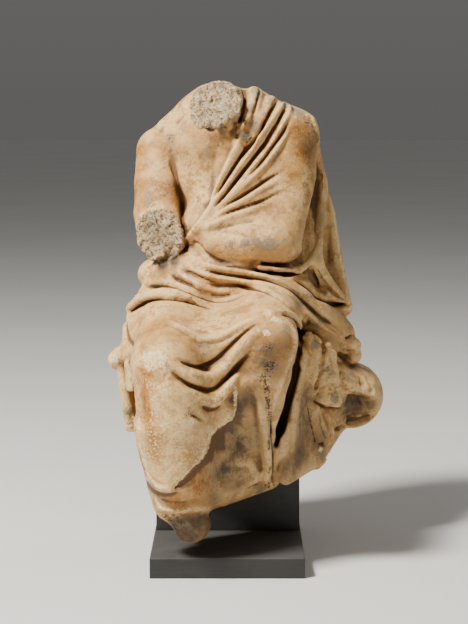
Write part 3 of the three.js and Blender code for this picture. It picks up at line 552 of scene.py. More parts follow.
def hips(stone):
    stone.ball((230, 280, 44), (86, 30, 55), 18)
    stone.limb([(168, 268, 8, 16), (210, 272, -4, 18), (260, 279, -4, 16), (296, 290, 6, 16)], 10)
    stone.ball((160, 273, 34), (22, 17, 22), 5)
    stone.ball((175, 270, 8), (18, 13, 15), 8)
    stone.ball((197, 254, 8), (11, 10, 11), 6)
    stone.ball((235, 330, 72), (92, 62, 42), 20)


def waist_rolls(stone):
    """Thick roll of the mantle across the right hip, which ends in the open."""
    stone.limb([(132, 307, -14, 5.5), (141, 299, -24, 6), (150, 295.5, -36, 6), (162, 293, -46, 5.5),
        (176, 293, -51, 4.5), (190, 296.5, -52, 3)], 4)


def right_arm(stone):
    """The right arm hangs beside the chest and is broken off just past the elbow."""
    arm = Stone()
    arm.limb([(161, 151, 50, 24), (159, 182, 36, 23.5), (158, 212, 26, 23)], 4)
    arm.limb([(158, 213, 26, 23), (161, 240, -10, 22.5)], 3)
    arm.ball((177, 242, 2), (9, 9, 10), 4)
    arm.shear((161, 236, -4), (-0.04, -1, 0.02), 38)
    arm.shear((173, 256, 2), (0.48, -0.1, -0.87), 20)
    stone.join(arm, 3)


def mantle_behind_arm(stone):
    """A sheet of the mantle falls down the back, with a narrow fold between it and the arm."""
    stone.limb([(303, 146, 66, 12.5), (313, 180, 70, 13), (322, 215, 72, 13), (331, 298, 74, 18)], 8)
    stone.sheet([(310, 146, 62), (346, 308, 62), (300, 318, 72)], 6, 8)
    stone.limb([(319, 176, 52, 4), (320, 208, 40, 5), (317, 240, 26, 5), (316, 262, 16, 6)], 5)
    stone.limb([(316, 262, 16, 6), (330, 288, 32, 7), (346, 304, 48, 6)], 6)


def thighs(stone):
    stone.limb([(188, 302, 30, 38), (172, 332, -45, 36), (166, 364, -110, 31)], 14)
    stone.limb([(267, 297, 30, 37), (268, 318, -40, 29.5), (267, 340, -92, 27)], 12)
    stone.sheet([(172, 314, -5), (275, 308, -5), (264, 334, -85), (176, 352, -95)], 18, 14)
    stone.sheet([(176, 356, -97), (262, 342, -86), (205, 402, -100)], 12, 12)


def shins(stone):
    stone.limb([(166, 364, -110, 31), (170, 420, -110, 30), (177, 480, -102, 28), (180, 500, -98, 26.5)],
        8)
    stone.limb([(180, 500, -98, 25), (186, 510, -98, 24), (191, 522, -98, 19.5)], 3)
    stone.ball((191.5, 524.5, -98), (21.5, 18.5, 19.5), 2)
    stone.limb([(267, 340, -92, 27), (266, 372, -86, 23.5), (264, 400, -74, 19), (264, 430, -62, 13),
        (266, 455, -50, 10), (266, 480, -36, 9)], 10)


def cloth_between_shins(stone):
    stone.sheet([(185, 390, -118), (240, 385, -100), (262, 470, -50), (190, 505, -108)], 9, 10)
    stone.sheet([(190, 380, -80), (262, 380, -60), (266, 474, -14), (188, 502, -60)], 16, 10)


def stool(stone):
    stone.block((228, 395, -2), (72, 55, 44), 14, 12, yaw=-12)
    stone.block((240, 400, 58), (92, 46, 52), 14, 12, yaw=-6)


def cushion(stone):
    """Its broken end stands out past the left hip."""
    stone.block((248, 388, 66), (114, 32, 54), 26, 8, yaw=-4)
    stone.ball((350, 394, 66), (34, 34, 44), 8)
    stone.shear((357, 390, 24), (0.12, -0.70, -0.70), 50)
    stone.ball((357, 408, 20), (18, 17, 24), 2, cut=True)


def cloth_beside_seat(stone):
    stone.sheet([(300, 352, -10), (338, 345, 42), (339, 424, 46), (316, 460, 8)], 7, 8)
    stone.sheet([(300, 352, -10), (316, 460, 8), (286, 478, -36), (286, 430, -38)], 7, 8)
    stone.sheet([(309, 336, -6), (316, 342, -6), (314, 384, -8), (309, 396, -8)], 6, 2)
    stone.sheet([(327, 346, 0), (331, 352, 2), (337, 402, 8), (319, 399, -4)], 5, 2)
    stone.limb([(262, 284, 0, 18), (310, 308, 22, 20), (336, 334, 48, 19)], 12)
    stone.ball((352, 344, 50), (9, 8, 16), 3)
    stone.ball((352, 354, 52), (9.5, 9, 14), 3)


def cloth_beside_right_thigh(stone):
    stone.limb([(152, 300, 14, 16), (142, 326, -18, 18), (138, 350, -50, 16)], 12)
    stone.ball((117, 359, -34), (8, 9, 10), 2)
    stone.limb([(117, 358, -34, 8), (130, 352, -44, 8)], 3)
    stone.limb([(121, 364, -38, 4.5), (124, 386, -42, 4.5), (128, 408, -42, 5), (131, 426, -40, 5.5)], 3)
    stone.sheet([(122, 362, -34), (132, 424, -34), (142, 425, 10), (130, 350, 10)], 4.5, 4)
    stone.sheet([(127, 362, -62), (132, 372, -64), (133, 388, -60), (129, 388, -56)], 2.5, 2)


def gap_beside_left_shin(stone):
    stone.sheet([(299, 352, -70), (299, 352, -2), (276, 445, -14), (276, 445, -70)], 2, 4, cut=True)
    stone.sheet([(296, 368, -70), (296, 368, -6), (280, 430, -10), (280, 430, -70)], 4, 4, cut=True)
    stone.sheet([(291, 319, -70), (301, 326, -70), (301, 327, 6), (291, 319, 6)], 2.4, 2, cut=True)
    stone.sheet([(299.5, 327, -70), (299, 352, -70), (299, 352, 0), (299.5, 327, 6)], 2.4, 2, cut=True)


def trenches(stone):
    """Deep gaps under the left arm, and between it and the mantle behind."""
    stone.limb([(258, 266, -17, 2.6), (276, 268, -14, 3), (292, 269, -8, 3), (303, 266, 0, 3.2),
        (311, 259, 10, 3.5), (316, 248, 20, 4)], 2)
    stone.trench([(262, 262.5, -22, -6, 1), (276, 264, -22, 2, 1.6), (290, 264.5, -22, 14, 2.2),
        (299, 261, -18, 30, 2.8), (305, 254, -10, 44, 3.4), (310, 244, 0, 44, 3.6),
        (314, 236, 8, 44, 3.4)])
    stone.trench([(256, 270, -26, -10, 1), (270, 272, -26, 0, 1.5), (284, 273.5, -26, 8, 2),
        (298, 273.5, -24, 18, 2.4), (306, 271.5, -16, 24, 1.8), (312, 268.5, -8, 24, 0.8)])
    stone.trench([(319, 168, 34, 52, 2.2), (318, 182, 26, 52, 3.4), (314.5, 200, 10, 52, 4),
        (310, 220, 0, 52, 4.4), (305, 243, -6, 50, 4)])


FORMS = (torso, neck, left_arm, hips, right_arm, mantle_behind_arm, thighs, shins, cloth_between_shins,
    stool, cushion, cloth_beside_seat, cloth_beside_right_thigh, gap_beside_left_shin, shoulder_rolls,
    waist_rolls, trenches)


# The carving

def chest_carving(c):
    c.fold([(168, 118), (158, 135), (152, 155)], -2, 10)
    c.fold([(194, 200), (206, 204), (216, 201)], -2, 8)
    c.fold([(219, 138), (214, 160), (210, 195), (204, 222)], -2, 12)
    c.fold([(196, 119), (206, 129), (218, 131), (230, 124), (243, 111)], -2, 3)
    c.fold([(170, 160), (173, 170), (177, 180)], -1.5, 3)


def shoulder_folds(c):
    c.fold([(261, 88), (259, 97), (256, 106), (253, 114), (250, 120)], -6, 2.6, open_start=True)
    c.fold([(243, 88), (244, 104), (242, 118), (238, 130)], -4, 4, open_start=True)
    c.fold([(243, 128), (237, 146), (229, 163), (219, 184), (209, 208), (198, 226), (186, 239)], 4.5, 7,
        3.5, open_end=True)
    c.fold([(279, 97), (274, 106), (269, 115), (264, 124), (259, 133), (253, 142), (246, 151), (240, 158),
        (233, 168), (226, 179), (219, 190), (212, 202)], -8, 3.4, open_start=True, taper=0.12)
    c.fold([(256, 137), (250, 144), (244, 152), (238, 159)], -4, 5)
    c.fold([(283, 101), (277, 111), (271, 121), (264, 132), (257, 142), (249, 153), (241, 163), (230, 180),
        (215, 203)], 3.5, 4)
    c.fold([(289, 99), (285, 109), (280, 119), (274, 129), (268, 139), (262, 148), (255, 157), (247, 167),
        (237, 180), (224, 196), (212, 209)], -8, 3.2, open_start=True, taper=0.12)
    c.fold([(291, 106), (287, 115), (281, 126), (275, 136), (268, 147), (258, 159), (246, 174), (231, 191),
        (216, 207)], 3.5, 4.5)
    c.fold([(288, 118), (284, 129), (278, 139), (271, 148), (265, 157), (256, 168), (246, 179)], -4.5, 3,
        taper=0.3)
    c.fold([(291, 124), (286, 134), (279, 145), (270, 157), (262, 167), (248, 181), (230, 197),
        (212, 213)], 3.5, 4.2)
    c.fold([(286, 170), (270, 177), (255, 187), (240, 197), (226, 205), (214, 213)], -6.5, 3.6, 2.6,
        taper=0.35)
    c.fold([(282, 178), (262, 188), (242, 200), (226, 208.5), (208, 220)], 3, 5)
    c.fold([(287, 187), (272, 195), (255, 203), (240, 208), (225, 214), (208, 223)], -5, 3.6, 2.6,
        taper=0.4)
    c.fold([(270, 203), (250, 209), (232, 215), (212, 223), (196, 232)], 3, 6)
    c.fold([(262, 219), (242, 222), (225, 226), (205, 232)], -2, 5)
    c.fold([(188, 238), (200, 243), (207, 252), (220, 260), (236, 263)], -2.5, 3)
    c.fold([(205, 236), (224, 232), (244, 236), (258, 242)], -1.8, 3)


def folds_behind_arm(c):
    c.fold([(329, 178), (328, 205), (328, 240), (328, 272)], -4, 7)


def waist_folds(c):
    """Crisp folds side by side, from the right hip over the lap to the left side."""
    c.fold([(196, 258), (210, 262), (225, 265.5), (240, 267), (255, 270), (266, 273), (280, 277)], -2.5, 3)
    c.fold([(196, 260), (210, 264.5), (220, 267), (230, 269), (240, 270.5), (250, 272.5), (260, 275),
        (270, 277.5), (280, 280.5), (289, 285), (297, 292)], 3, 3.6)
    c.fold([(196, 265), (210, 270.5), (220, 273), (230, 274.5), (240, 275.8), (250, 277), (260, 278.2),
        (270, 280), (280, 284), (290, 289), (298, 295.5), (306, 302.5), (314, 310), (322, 317),
        (331, 322.5), (340, 328)], -6.5, 3.2, taper=0.12)
    c.fold([(180, 264), (190, 267.5), (200, 271.5), (210, 274.5), (220, 276.8), (230, 278.3), (240, 279.8),
        (250, 281.2), (260, 282.7), (270, 285), (280, 289.5), (290, 296), (300, 304.5), (310, 314),
        (320, 323), (333, 332), (346, 340)], 3.2, 4)
    c.fold([(182, 269.5), (192, 271.5), (200, 275.5), (209, 279), (218, 281)], -3, 2)
    c.fold([(222, 281), (232, 283), (242, 284.8), (252, 287), (261, 289.5), (270, 292.5), (280, 298.5),
        (288, 305.5), (294, 312), (299, 320), (304, 328)], -6, 3.2, taper=0.15)
    c.fold([(308, 306), (316, 315), (326, 324), (338, 333)], -2.5, 2.6)
    c.fold([(174, 268), (184, 275), (194, 281.5), (205, 287), (216, 290), (228, 290), (240, 288)], 3, 4.5)
    c.fold([(168, 271), (175, 276.5), (181, 280), (188, 283.2), (199, 287)], -3, 2)
    c.fold([(168, 279), (180, 284.5), (190, 288.5), (201, 292)], 2, 3)
    c.fold([(142, 285.5), (150, 284.5), (160, 284), (170, 284.8), (180, 287.5), (190, 291.5), (200, 295.5),
        (208, 298.3), (216, 300), (224, 300), (232, 298.3), (240, 295), (249, 290)], -7, 3, 4, taper=0.12)
    c.fold([(130, 310), (136, 305.3), (142, 302), (150, 299.3), (158, 298.3), (170, 298), (180, 298.8),
        (190, 301), (200, 303.5), (210, 306.3), (220, 307.5)], -6.5, 2.6, 3.6, open_start=True)
    c.fold([(292, 278), (300, 281.5), (310, 288.5), (318, 295.5), (326, 300.5), (335, 303.2), (348, 304)],
        -9, 3.6, open_end=True)
    c.fold([(316, 262), (317, 272), (322, 281), (330, 288.5), (338, 295), (348, 300)], -6, 3.4, taper=0.3)
    c.fold([(311, 271), (317, 282), (325, 292), (335, 298), (346, 301.5)], 3, 3)
    c.fold([(288, 278), (298, 277), (308, 273)], 2.5, 2.5)
    c.fold([(300, 327), (314, 338), (330, 349), (346, 356)], -4, 3)
    c.fold([(341, 348), (349, 351), (357, 348)], -4, 2.4)
    c.fold([(344, 338), (352, 334)], -5, 2.4, open_end=True)


def lap_folds(c):
    c.fold([(163, 317), (179, 327), (193, 334), (203, 339), (215, 338), (226, 334), (240, 325), (251, 320),
        (262, 314)], 3, 9, 4)
    c.fold([(200, 342), (215, 342), (226, 338), (238, 330), (250, 323)], -1.5, 2.6)
    c.fold([(175, 357.5), (185, 362), (197, 365.5), (206, 364.5), (215, 359), (226, 349), (237, 338),
        (248, 328), (260, 319)], -5.5, 2.6, 3.6, taper=0.15)
    c.fold([(170, 362), (185, 371.5), (197, 376), (205, 377), (212, 376), (223, 367), (233, 356),
        (244, 343), (255, 332), (268, 323)], 6, 8, 9)
    c.fold([(170, 369), (184, 381), (197, 387), (206, 388.5), (215, 387), (224, 380), (233, 369),
        (241, 360), (249, 352)], -7.5, 2.8, 5, taper=0.2)
    c.fold([(188, 393), (198, 397.5), (212, 397), (224, 389), (234, 378), (242, 367)], 3.5, 6)
    c.fold([(192, 402), (203, 405.5), (212, 404), (222, 398)], -3.5, 2.6, 5)
    c.fold([(282, 314), (290, 323), (295, 334), (294, 347), (288, 363), (281, 382), (275, 400),
        (271, 420)], 3, 2.6, 7)
    c.fold([(254, 310), (268, 311), (283, 313.5), (295, 318), (303, 327)], 4, 6, 2)
    c.fold([(274, 316), (284, 315.5), (291, 318.5), (299, 325)], -4, 2)


def shin_cloth(c):
    """The overfold on the right shin ends in a broken edge; the cloth under it has two hems."""
    c.lap([(240, 378, 20), (238, 397, 1), (236, 410, 1), (232, 420, 1), (221, 426, 1), (212, 436, 1),
        (209, 447, 1), (206, 455, 1), (199, 462, 1), (188, 474, 1), (176, 485, 2), (172, 494, 2.5),
        (158, 492, 2.5), (147, 482, 3), (137, 447, 3), (132, 410, 26), (132, 366, 30), (200, 366, 30)],
        9.5, ragged=2.2)
    c.fold([(236, 392), (234, 408), (228, 417), (218, 423), (208, 435), (205, 447), (202, 455), (195, 462),
        (184, 474), (172, 486)], 2.5, 3)
    c.lap([(150, 499, 2), (158, 510, 2), (176, 514, 2), (205, 510, 8), (226, 502, 20), (226, 550, 20),
        (150, 550, 20)], -3.5, ragged=1)
    c.fold([(155, 500), (159, 507), (166, 510), (178, 510.5), (192, 509)], 3, 2.6)
    c.fold([(138, 408), (139.5, 425), (141, 445), (145, 463), (150, 478), (156, 486.5), (165, 489.5),
        (180, 489), (196, 485)], 4, 2.6, 2.6)
    c.fold([(144, 412), (147, 440), (151, 460), (157, 475), (166, 482), (176, 480)], -3, 4)
    c.fold([(156, 497), (168, 502), (186, 502), (204, 496)], -2, 4)
    c.fold([(256, 388), (260, 404), (262, 427), (265, 447), (266, 465), (264, 486)], 5, 9, 5)
    c.fold([(271, 415), (272, 445), (273, 466), (273, 488)], -5, 3, open_end=True)
    c.fold([(222, 466), (236, 468), (251, 466)], -2, 4)
    c.fold([(184, 413), (190, 415), (196, 421)], -3.5, 3.5)


def folds_beside_seat(c):
    c.fold([(324, 341), (323, 353)], -9, 2.6)
    c.fold([(320, 355), (321, 368), (319, 379), (314, 391)], -9, 3)
    c.fold([(307, 333), (310, 341), (315, 349), (316, 360)], 2.5, 3, 4)
    c.fold([(311, 399), (319, 403), (327, 407), (343, 407)], -6, 2)
    c.fold([(307, 399), (311, 420), (315, 436), (317, 448)], -5, 2)
    c.fold([(320, 406), (322, 424), (327, 440)], -3.5, 3.4)
    c.fold([(327, 409), (330, 428), (334, 441)], 3, 3)
    c.fold([(336, 411), (338, 424)], -2, 4)
    c.fold([(294, 400), (292, 430), (290, 460)], -2.5, 8)
    c.fold([(317, 444), (327, 442)], -4, 3)
    c.fold([(334, 430), (344, 424)], -4, 3, open_end=True)
    c.fold([(338, 352), (343, 356), (348, 358)], -6, 5)


def back_folds(c):
    """The mantle crosses the back from the left shoulder to the right hip."""
    c.lap([(-88, 110, 20), (-10, 98, 3), (30, 130, 3), (60, 190, 3), (84, 258, 3), (95, 300, 20),
        (-95, 330, 20)], 5, view=BACK_VIEW)
    c.fan([(-14, 108), (20, 146), (48, 196), (74, 256)], [(-74, 165), (-72, 220), (-54, 280), (-14, 322)],
        8, 5, 7, view=BACK_VIEW)
    c.fold([(86, 288), (50, 306), (0, 318), (-50, 330), (-86, 338)], -6, 7, view=BACK_VIEW)
    c.fold([(92, 302), (50, 322), (0, 334), (-50, 344), (-92, 350)], 5, 8, view=BACK_VIEW)
    c.fold([(60, 150), (52, 172), (34, 184)], -3, 10, view=BACK_VIEW)


def cushion_pleats(c):
    c.fan([(88, 330), (84, 356), (90, 384), (88, 412)], [(-88, 356), (-88, 374), (-84, 396), (-88, 414)],
        7, -4.5, 8, view=BACK_VIEW)


def side_folds(c):
    c.fold([(66, 140), (70, 180), (74, 240), (80, 300)], -5, 6, view=LEFT_VIEW)
    c.fold([(84, 160), (88, 210), (92, 270), (94, 320)], 4, 7, view=LEFT_VIEW)
    c.fold([(-60, 300), (-20, 308), (20, 318), (60, 332), (96, 344)], -5, 6, view=RIGHT_VIEW)
    c.fold([(-66, 314), (-24, 324), (16, 336), (50, 348)], 4, 7, view=RIGHT_VIEW)
    c.fold([(-70, 330), (-30, 342), (4, 352)], -5, 6, view=RIGHT_VIEW)


def broken_surfaces(c):
    c.rough((217, 105, 0), 34, 3, 20, 1)
    c.rough((217, 105, 0), 28, 1.6, 7, 11)
    c.rough((161, 236, -4), 34, 2.6, 18, 2)
    c.rough((161, 236, -4), 30, 1.6, 7, 12)
    c.rough((355, 402, 34), 34, 2.2, 14, 3)
    c.rough((254, 127, 14), 10, 2.2, 6, 4)
    c.rough((172, 520, -118), 20, 2.2, 8, 5)
    c.rough((156, 360, -138), 15, 1.6, 6, 6)
    c.rough((331, 375, -4), 30, 2.2, 10, 7)
    c.rough((270, 316, -110), 12, 1.6, 6, 8)
    c.rough((132, 425, -40), 16, 2.2, 8, 9)
    c.rough((264, 358, -114), 22, 1.4, 6, 10)
    c.rough((322, 452, 12), 22, 2.4, 9, 13)
    c.rough((262, 490, -44), 18, 1.6, 8, 14)


FOLDS = (chest_carving, shoulder_folds, folds_behind_arm, waist_folds, lap_folds, shin_cloth,
    folds_beside_seat, back_folds, cushion_pleats, side_folds, broken_surfaces)


# Marks on the stone, kept on its points for the marble's material

def blurred(field, reach):
    """The field averaged over a box, twice, to tell hollows from ridges."""
    for _ in range(2):
        for axis in range(3):
            sums = np.cumsum(np.moveaxis(field, axis, 0), 0, dtype=np.float64)
            wide = 2 * reach + 1
            middle = (sums[wide:] - sums[:-wide]) / wide
            ends = [np.repeat(middle[:1], reach + 1, 0), np.repeat(middle[-1:], reach, 0)]
            field = np.moveaxis(np.concatenate([ends[0], middle, ends[1]]), 0, axis)
    return field


def patches(stone, points, spots):
    """Share of points in round patches, each (u, v, radius, strength) where the eye meets the stone."""
    share = np.zeros(len(points))
    spots = np.array(spots, float)
    start, into, depths = stone.seen(spots[:, :2], None)
    for centre, radius, strength in zip(start + into * depths[:, None], spots[:, 2], spots[:, 3]):
        near = np.clip(1 - length(points - centre) / radius, 0, 1)
        share = np.maximum(share, strength * near * near * (3 - 2 * near))
    return np.minimum(share, 1)


def on_break(points, centre, direction, reach):
    """Share of a point's place on a broken face, whose plane has its middle and direction given."""
    away = np.array(direction, float) / np.linalg.norm(direction)
    q = points - place(*centre)
    height = q @ away
    near = np.clip((reach - length(q)) / BREAK_EDGE, 0, 1)
    return near * np.clip((BREAK_DEPTH - np.abs(height)) / BREAK_FADE, 0, 1)


def along(corners, radius, strength):
    """Spots in a row on a drawn line."""
    return [(u, v, radius, strength) for u, v in smooth_line(corners, LINE_STEP)]


OVERFOLD_LIP = [(236, 388), (235, 410), (230, 420), (219, 426), (209, 437), (205, 450), (198, 461),
    (186, 474), (175, 485)]
OVERFOLD_RIM = [(139, 420), (141, 445), (145, 463), (150, 478), (156, 486), (165, 489), (180, 489)]
SECOND_HEM = [(156, 501), (160, 508), (168, 510), (184, 510)]
MANTLE_EDGE = [(328, 180), (333, 212), (340, 258), (346, 285), (349, 308)]
HANGING_TIP = [(130, 370), (133, 380), (132, 389)]
SHIN_RIDGE = [(266, 382), (268, 400), (270, 425), (269, 447)]

HONEY_SPOTS = [(276, 350, 26, 0.8), (165, 140, 26, 0.6), (262, 348, 26, 0.8), (262, 272, 22, 0.5),
    (315, 296, 18, 0.5), (235, 150, 20, 0.3), (141, 150, 24, 1), (138, 185, 24, 0.9), (142, 168, 20, 0.8),
    (144, 203, 18, 0.7), (298, 132, 26, 1), (303, 155, 28, 1), (292, 175, 22, 0.8), (150, 330, 18, 1),
    (160, 324, 20, 0.9), (150, 340, 18, 0.9), (172, 335, 18, 0.6), (190, 345, 16, 0.4),
    (190, 460, 28, 0.5), (200, 488, 34, 0.9), (215, 440, 20, 0.7), (176, 500, 24, 0.8),
    (190, 515, 14, 0.9), (252, 330, 20, 0.6), (262, 326, 16, 0.7), (250, 205, 26, 0.3),
    (335, 300, 26, 0.4), (265, 300, 18, 0.4), (205, 402, 20, 0.5), (232, 395, 14, 0.7),
    (318, 392, 18, 0.6), (345, 355, 12, 0.6)] + along([(145, 374), (146, 400), (151, 430), (155, 455)], 17,
    1)
CHALK_AND_HIGHLIGHT_SPOTS = [(150, 357, 8, 1), (157, 356, 9, 1), (163, 359, 8, 1), (148, 365, 7, 1), (156, 365, 8, 1),
    (164, 366, 5, 0.9), (145, 354, 5, 0.8), (267, 313, 6, 1), (274, 318, 6, 1), (279, 320, 4, 0.8),
    (267, 332, 5, 0.8), (192, 421, 6, 0.9), (321, 449, 5, 0.8), (375, 393, 5, 0.9), (359, 389, 4, 0.8),
    (113, 358, 9, 0.8), (186, 275, 7, 0.6), (194, 281, 7, 0.6), (285, 152, 5, 0.7)]
# The spots along the overfold's lip and rim, the second hem and the mantle's outer edge are painted
# highlights on these edges, over chalky broken stone.
CHALK_AND_HIGHLIGHT_SPOTS += along(OVERFOLD_LIP, 4.5, 0.8) + along(OVERFOLD_RIM, 3.2, 0.75) + along(SECOND_HEM, 3, 0.8)
CHALK_AND_HIGHLIGHT_SPOTS += along(MANTLE_EDGE, 3.5, 0.7) + along(HANGING_TIP, 6, 0.9)
GREY_SPOTS = [(258, 95, 14, 0.9), (250, 108, 9, 0.8), (270, 100, 14, 0.8), (262, 114, 9, 0.7),
    (255, 127, 11, 1), (245, 136, 10, 1), (284, 104, 10, 0.9), (296, 112, 14, 0.9), (232, 243, 8, 1),
    (245, 243, 8, 0.9), (258, 243, 11, 1), (272, 242, 12, 0.9), (283, 240, 8, 0.6), (263, 350, 24, 0.5),
    (269, 366, 24, 0.5), (258, 372, 16, 0.4), (240, 412, 10, 0.5), (330, 372, 14, 0.6),
    (316, 345, 12, 0.6), (336, 398, 10, 0.8), (322, 455, 12, 0.8), (172, 138, 14, 0.5),
    (182, 126, 14, 0.4), (150, 200, 16, 0.5), (262, 490, 14, 0.6), (225, 470, 16, 0.5),
    (230, 272, 18, 0.4), (300, 302, 18, 0.5), (320, 322, 16, 0.5), (165, 306, 14, 0.4),
    (286, 330, 12, 0.6), (205, 345, 14, 0.4), (130, 410, 12, 0.5)]
SOOT_SPOTS = [(308, 122, 16, 0.8), (318, 140, 12, 0.7), (310, 165, 12, 0.5), (268, 346, 12, 0.8),
    (270, 364, 14, 1), (264, 378, 12, 0.9), (270, 470, 10, 0.9), (268, 486, 10, 1), (150, 205, 14, 0.6),
    (222, 475, 16, 0.5), (168, 519, 11, 1), (180, 522, 11, 0.9), (248, 140, 12, 0.9), (246, 122, 7, 1),
    (172, 138, 12, 0.6), (187, 414, 5, 1), (225, 130, 10, 0.6), (330, 260, 6, 0.8), (330, 365, 14, 0.4),
    (322, 444, 6, 0.9), (338, 429, 6, 0.9), (200, 382, 8, 0.4), (158, 122, 10, 0.5), (210, 118, 20, 0.4)]
SOOT_SPOTS += along(SHIN_RIDGE, 6, 1)
# Dark patches: brown stain in part, and painted shade in part, under the left forearm, below the neck's
# break, under the foot, between the shins, beside the seat and on the mantle's shaded side.
DARK_SPOTS = [(240, 440, 40, 1), (222, 470, 34, 0.9), (245, 400, 26, 0.9), (235, 480, 28, 0.8),
    (215, 500, 26, 0.7), (306, 400, 26, 0.8), (304, 425, 30, 1), (300, 450, 32, 1), (290, 468, 26, 0.8),
    (318, 440, 26, 0.7), (352, 405, 30, 1.2), (368, 404, 18, 0.9), (188, 533, 30, 2), (202, 530, 26, 2),
    (180, 528, 20, 1.6), (335, 265, 50, 0.12), (308, 145, 26, 0.6), (300, 128, 18, 0.4),
    (272, 350, 26, 0.6), (262, 362, 18, 0.5), (278, 342, 20, 0.5), (276, 368, 22, 0.5),
    (318, 220, 30, 0.5), (152, 225, 20, 0.3), (160, 240, 24, 0.35), (164, 263, 12, 1.4),
    (175, 260, 11, 1.3), (156, 260, 8, 1), (245, 138, 9, 0.8), (130, 412, 16, 0.4), (224, 131, 8, 0.6),
    (236, 122, 8, 0.7)]
BREAK_DEPTH, BREAK_FADE, BREAK_EDGE = 4.5, 1.5, 3
NECK_BREAK = ((217, 105, 0), (0.05, -0.9, 0.42), 34)
ARM_BREAK = ((161, 234, -4), (-0.04, -1, 0.02), 28)


def mark(stone, points):
    hollow = stone.sample(points, blurred(stone.field, HOLLOW_REACH).astype(np.float32))
    return {
        "hollow": np.clip(-hollow / HOLLOW_DEPTH, -1, 1),
        "broken": np.maximum(on_break(points, *NECK_BREAK), on_break(points, *ARM_BREAK)),
        "honey": patches(stone, points, HONEY_SPOTS),
        "chalk_and_highlight": patches(stone, points, CHALK_AND_HIGHLIGHT_SPOTS),
        "grey": patches(stone, points, GREY_SPOTS),
        "soot": patches(stone, points, SOOT_SPOTS),
        "dark": patches(stone, points, DARK_SPOTS),
    }


# Meshes

def mesh_of(name, points, faces):
    mesh = bpy.data.meshes.new(name)
    mesh.from_pydata(points.tolist(), [], faces.tolist())
    return mesh


def link(name, mesh, material=None):
    thing = bpy.data.objects.new(name, mesh)
    bpy.context.scene.collection.objects.link(thing)
    if material:
        mesh.materials.append(material)
    return thing


def applied(thing):
    """The thing's modifiers become its mesh."""
    shape = bpy.data.meshes.new_from_object(thing.evaluated_get(bpy.context.evaluated_depsgraph_get()))
    thing.modifiers.clear()
    thing.data = shape


def upright_box():
    """The space that the mount's upright takes up in the figure, in the drawing's own units."""
    side = (UPRIGHT_WIDTH / 2 + GAP) / UNIT
    middle = -FIGURE_SHIFT_X / UNIT
    front = (UPRIGHT_FACE_Y - GAP) / UNIT
    top = (SEAT_HEIGHT + GAP - FIGURE_BASE) / UNIT
    return middle - side, middle + side, front, top


def cut_upright(stone):
    left, right, front, top = upright_box()
    x, y, z = [axis.reshape(shape) for axis, shape in zip(stone.axes, ((-1, 1, 1), (1, -1, 1), (1, 1, -1)))]
    box = np.maximum(np.maximum(left - x, x - right), np.maximum(front - y, z - top))
    stone.field = np.maximum(stone.field, -box)


def statue():
    stone = Stone()
    for form in FORMS:
        form(stone)
    carving = Carving(stone)
    for fold in FOLDS:
        fold(carving)
    carving.apply()
    cut_upright(stone)
    points, faces = largest_body(*surface(stone.field))
    points = relax(points, faces, RELAX_PASSES)
    thing = link("carved_figure", mesh_of("carved_figure", points, faces))
    thin = thing.modifiers.new("thin", "DECIMATE")
    thin.ratio = FIGURE_TRIANGLES / (2 * len(faces))
    applied(thing)
    mesh = thing.data
    mesh.shade_smooth()
    kept = np.empty(len(mesh.vertices) * 3, np.float32)
    mesh.vertices.foreach_get("co", kept)
    kept = kept.reshape(-1, 3).astype(float)
    for name, values in mark(stone, kept).items():
        mesh.attributes.new(name, "FLOAT", "POINT").data.foreach_set("value", values.astype(np.float32))
    kept = kept * UNIT + [FIGURE_SHIFT_X, 0, FIGURE_BASE]
    mesh.vertices.foreach_set("co", kept.astype(np.float32).reshape(-1))
    mesh.update()
    return thing


def slab(name, low, high, edge):
    """Block with its edges rounded off."""
    mesh = bpy.data.meshes.new(name)
    shape = bmesh.new()
    bmesh.ops.create_cube(shape, size=1)
    for vertex in shape.verts:
        vertex.co = [(a + b) / 2 + c * (b - a) for a, b, c in zip(low, high, vertex.co)]
    bmesh.ops.subdivide_edges(shape, edges=shape.edges[:], cuts=6, use_grid_fill=True)
    sharp = [side for side in shape.edges if side.calc_face_angle(0) > 1]
    bmesh.ops.bevel(shape, geom=sharp, offset=edge, segments=4, profile=0.5, affect="EDGES")
    shape.to_mesh(mesh)
    shape.free()
    mesh.shade_smooth()
    return link(name, mesh)


# Materials

